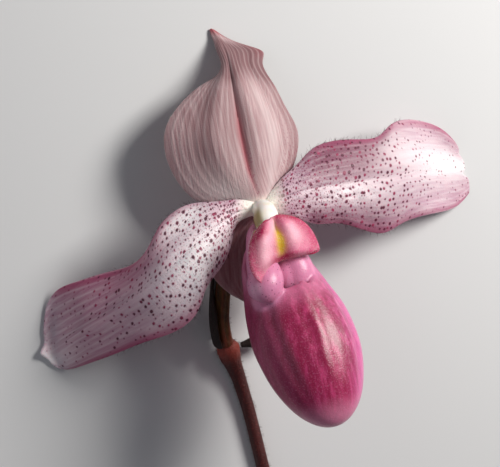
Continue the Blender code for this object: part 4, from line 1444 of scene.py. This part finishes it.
def floral_bract():
    """A sheath that follows the ovary's own line. It is open towards the bud, and its tip is free."""
    share = np.linspace(*BRACT_SPAN, 70)
    path = seen_at(spline(OVARY_LINE, share))
    side, top = ring_frames(path, level=True)
    s, t = np.meshgrid(np.linspace(0, 1, 70), np.linspace(-1, 1, 50), indexing="ij")
    open_up = ease(s, 0.0, 0.45) * 0.45 + 0.55
    middle, half = (BRACT_FROM + BRACT_TO) / 2, (BRACT_TO - BRACT_FROM) / 2
    turn = middle + half * open_up * t
    spoke = np.cos(turn)[..., None] * side[:, None] + np.sin(turn)[..., None] * top[:, None]
    grid = path[:, None] + BRACT_RADIUS * spoke
    thick, tint = BRACT_THICKNESS + 0 * s, 0.2 + 0.2 * np.abs(t)
    blade = add_blade("floral_bract_sheath", grid, thick, s, t, BRACT_SKIN, tint=tint)
    stand_for(blade, "bract", "floral_bract")


floral_bract()

# %% [markdown]
# ## Hairs
#
# Paphiopedilums are downy. Dark bristles of about a millimetre fringe the petals, shorter dark ones
# stand on the bud, rusty down covers the stem and ovary, and the shield and the dorsal sepal's
# margins wear a short white fuzz. A particle system could grow them, but real meshes are kept in
# the export. Each hair is a thin spike, bent in the middle. The hairs are fatter than in life, 0.04
# to 0.06 mm, so that they show at all.

# %% Hair meshes
HAIR_SCATTER = 0.28
LOWEST_HAIR = 0.02
# Three corners round a hair, in radians.
HAIR_CORNERS = (0.0, 2.1, 4.2)


def add_hairs(name, roots, ways, long_mm, thick_mm, material, slot, seed):
    """One mesh of many three-sided spikes, each from a root in its own way, bent in the middle."""
    draw = np.random.RandomState(seed)
    count = len(roots)
    ways = ways + draw.normal(0, HAIR_SCATTER, (count, 3))
    ways /= np.linalg.norm(ways, axis=1, keepdims=True)
    long = long_mm * draw.uniform(0.55, 1.2, count)[:, None]
    side = np.cross(ways, draw.normal(0, 1, (count, 3)))
    side /= np.linalg.norm(side, axis=1, keepdims=True)
    other = np.cross(ways, side)
    middle = roots + ways * long * 0.55
    tip = middle + (ways + side * 0.35) * long * 0.45
    rings = []
    for base, share in ((roots - ways * 0.1, 1.0), (middle, 0.7)):
        for turn in HAIR_CORNERS:
            spoke = side * math.cos(turn) + other * math.sin(turn)
            rings.append(base + spoke * thick_mm * share / 2)
    points = np.stack([*rings, tip], 1)
    points[..., 2] = np.maximum(points[..., 2], LOWEST_HAIR)
    one = [(0, 1, 4, 3), (1, 2, 5, 4), (2, 0, 3, 5), (3, 4, 6), (4, 5, 6), (5, 3, 6), (2, 1, 0)]
    corners = points.shape[1]
    faces = [tuple(i + corners * k for i in face) for k in range(count) for face in one]
    stand_for(add_mesh(name, points.reshape(-1, 3), faces, material), slot)


# %% Hair materials


def hair_skin(name, one, other):
    """A dry, dull hair of two shades that change over from patch to patch."""
    material, tree, shader = new_skin(name, 0.5, 0.0, 0.5)
    patches, = grains(tree, object_mm(tree), (0.8, 0.8, 0.8, 2))
    colour = lay(tree, one, (other, (patches, 0.3, 0.7)))
    tree.links.new(colour, shader.inputs["Base Color"])
    return material


DARK_HAIR = hair_skin("dark_bristle", "#35202A", "#6E3F55")
PALE_HAIR = hair_skin("pale_down", "#E9DFD6", "#C9B3AE")
RUSTY_HAIR = hair_skin("rusty_down", "#5E302A", "#361A1A")
print("made", DARK_HAIR.name, PALE_HAIR.name, RUSTY_HAIR.name)

# %% Places where hairs grow


def margin_roots(grid, count, seed, low, high):
    """Places on both margins of a blade, and the way out from its edge there."""
    draw = np.random.RandomState(seed)
    rows = len(grid)
    roots, ways = [], []
    for column, inner in ((0, 3), (-1, -4)):
        row = draw.uniform(low, high, count) * (rows - 1)
        i, f = row.astype(int), (row % 1)[:, None]
        edge = grid[i, column] * (1 - f) + grid[i + 1, column] * f
        out = edge - grid[i, inner]
        roots.append(edge)
        ways.append(out / np.linalg.norm(out, axis=1, keepdims=True))
    return np.concatenate(roots), np.concatenate(ways)


def surface_roots(rings, count, seed, low=0.0, high=1.0):
    """Places scattered over a tube or sheet, and the way straight out there."""
    draw = np.random.RandomState(seed)
    rows, columns = rings.shape[:2]
    i = (draw.uniform(low, high, count) * (rows - 1)).astype(int)
    j = draw.randint(0, columns, count)
    out = rings[i, j] - rings.mean(1)[i]
    return rings[i, j], out / np.linalg.norm(out, axis=1, keepdims=True)


def shield_roots(count, seed):
    """Places scattered over the front of the shield, at its upper skin."""
    draw = np.random.RandomState(seed)
    normals = surface_normals(SHIELD_GRID)
    normals *= np.sign(normals[..., 2:].mean())
    rows, columns = SHIELD_GRID.shape[:2]
    i, j = draw.randint(2, rows - 2, count), draw.randint(2, columns - 2, count)
    return SHIELD_GRID[i, j] + normals[i, j] * 0.4, normals[i, j]


# %% Grow the hairs
HAIRS = (
    # name, roots and ways, length, thickness, material, slot, seed
    ("left_petal_bristles", margin_roots(LEFT_GRID, 85, 1, 0.05, 0.75), 1.2, 0.06, DARK_HAIR, "petal", 1),
    ("right_petal_bristles", margin_roots(RIGHT_GRID, 85, 2, 0.05, 0.75), 1.2, 0.06, DARK_HAIR, "petal", 2),
    ("dorsal_sepal_down", margin_roots(DORSAL_GRID, 110, 3, 0.08, 0.8), 0.4, 0.04, PALE_HAIR, "sepal", 3),
    ("stem_down", surface_roots(STEM_RINGS, 1500, 4), 0.7, 0.04, RUSTY_HAIR, "stem", 4),
    ("ovary_down", surface_roots(OVARY_RINGS, 500, 5, 0.15, 0.95), 0.6, 0.04, RUSTY_HAIR, "ovary", 5),
    ("bud_down", surface_roots(BUD_RINGS, 120, 6), 0.45, 0.05, DARK_HAIR, "bract", 6),
    ("shield_down", shield_roots(1400, 7), 0.35, 0.04, PALE_HAIR, "staminode", 7),
)
for name, places, long_mm, thick_mm, material, slot, seed in HAIRS:
    add_hairs(name, *places, long_mm, thick_mm, material, slot, seed)

# %% [markdown]
# ## Finish
#
# The dressed flower has to stay the size of the solids it stands for. Both boxes are measured, and
# how far the dressed flower's box differs from the solids' box is printed.

# %% Compare the boxes and finish
visual_box = [list(corner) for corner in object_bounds()]
grown = np.subtract(visual_box, cad_box) / MM
print("grown, mm:", grown.round(2).tolist())
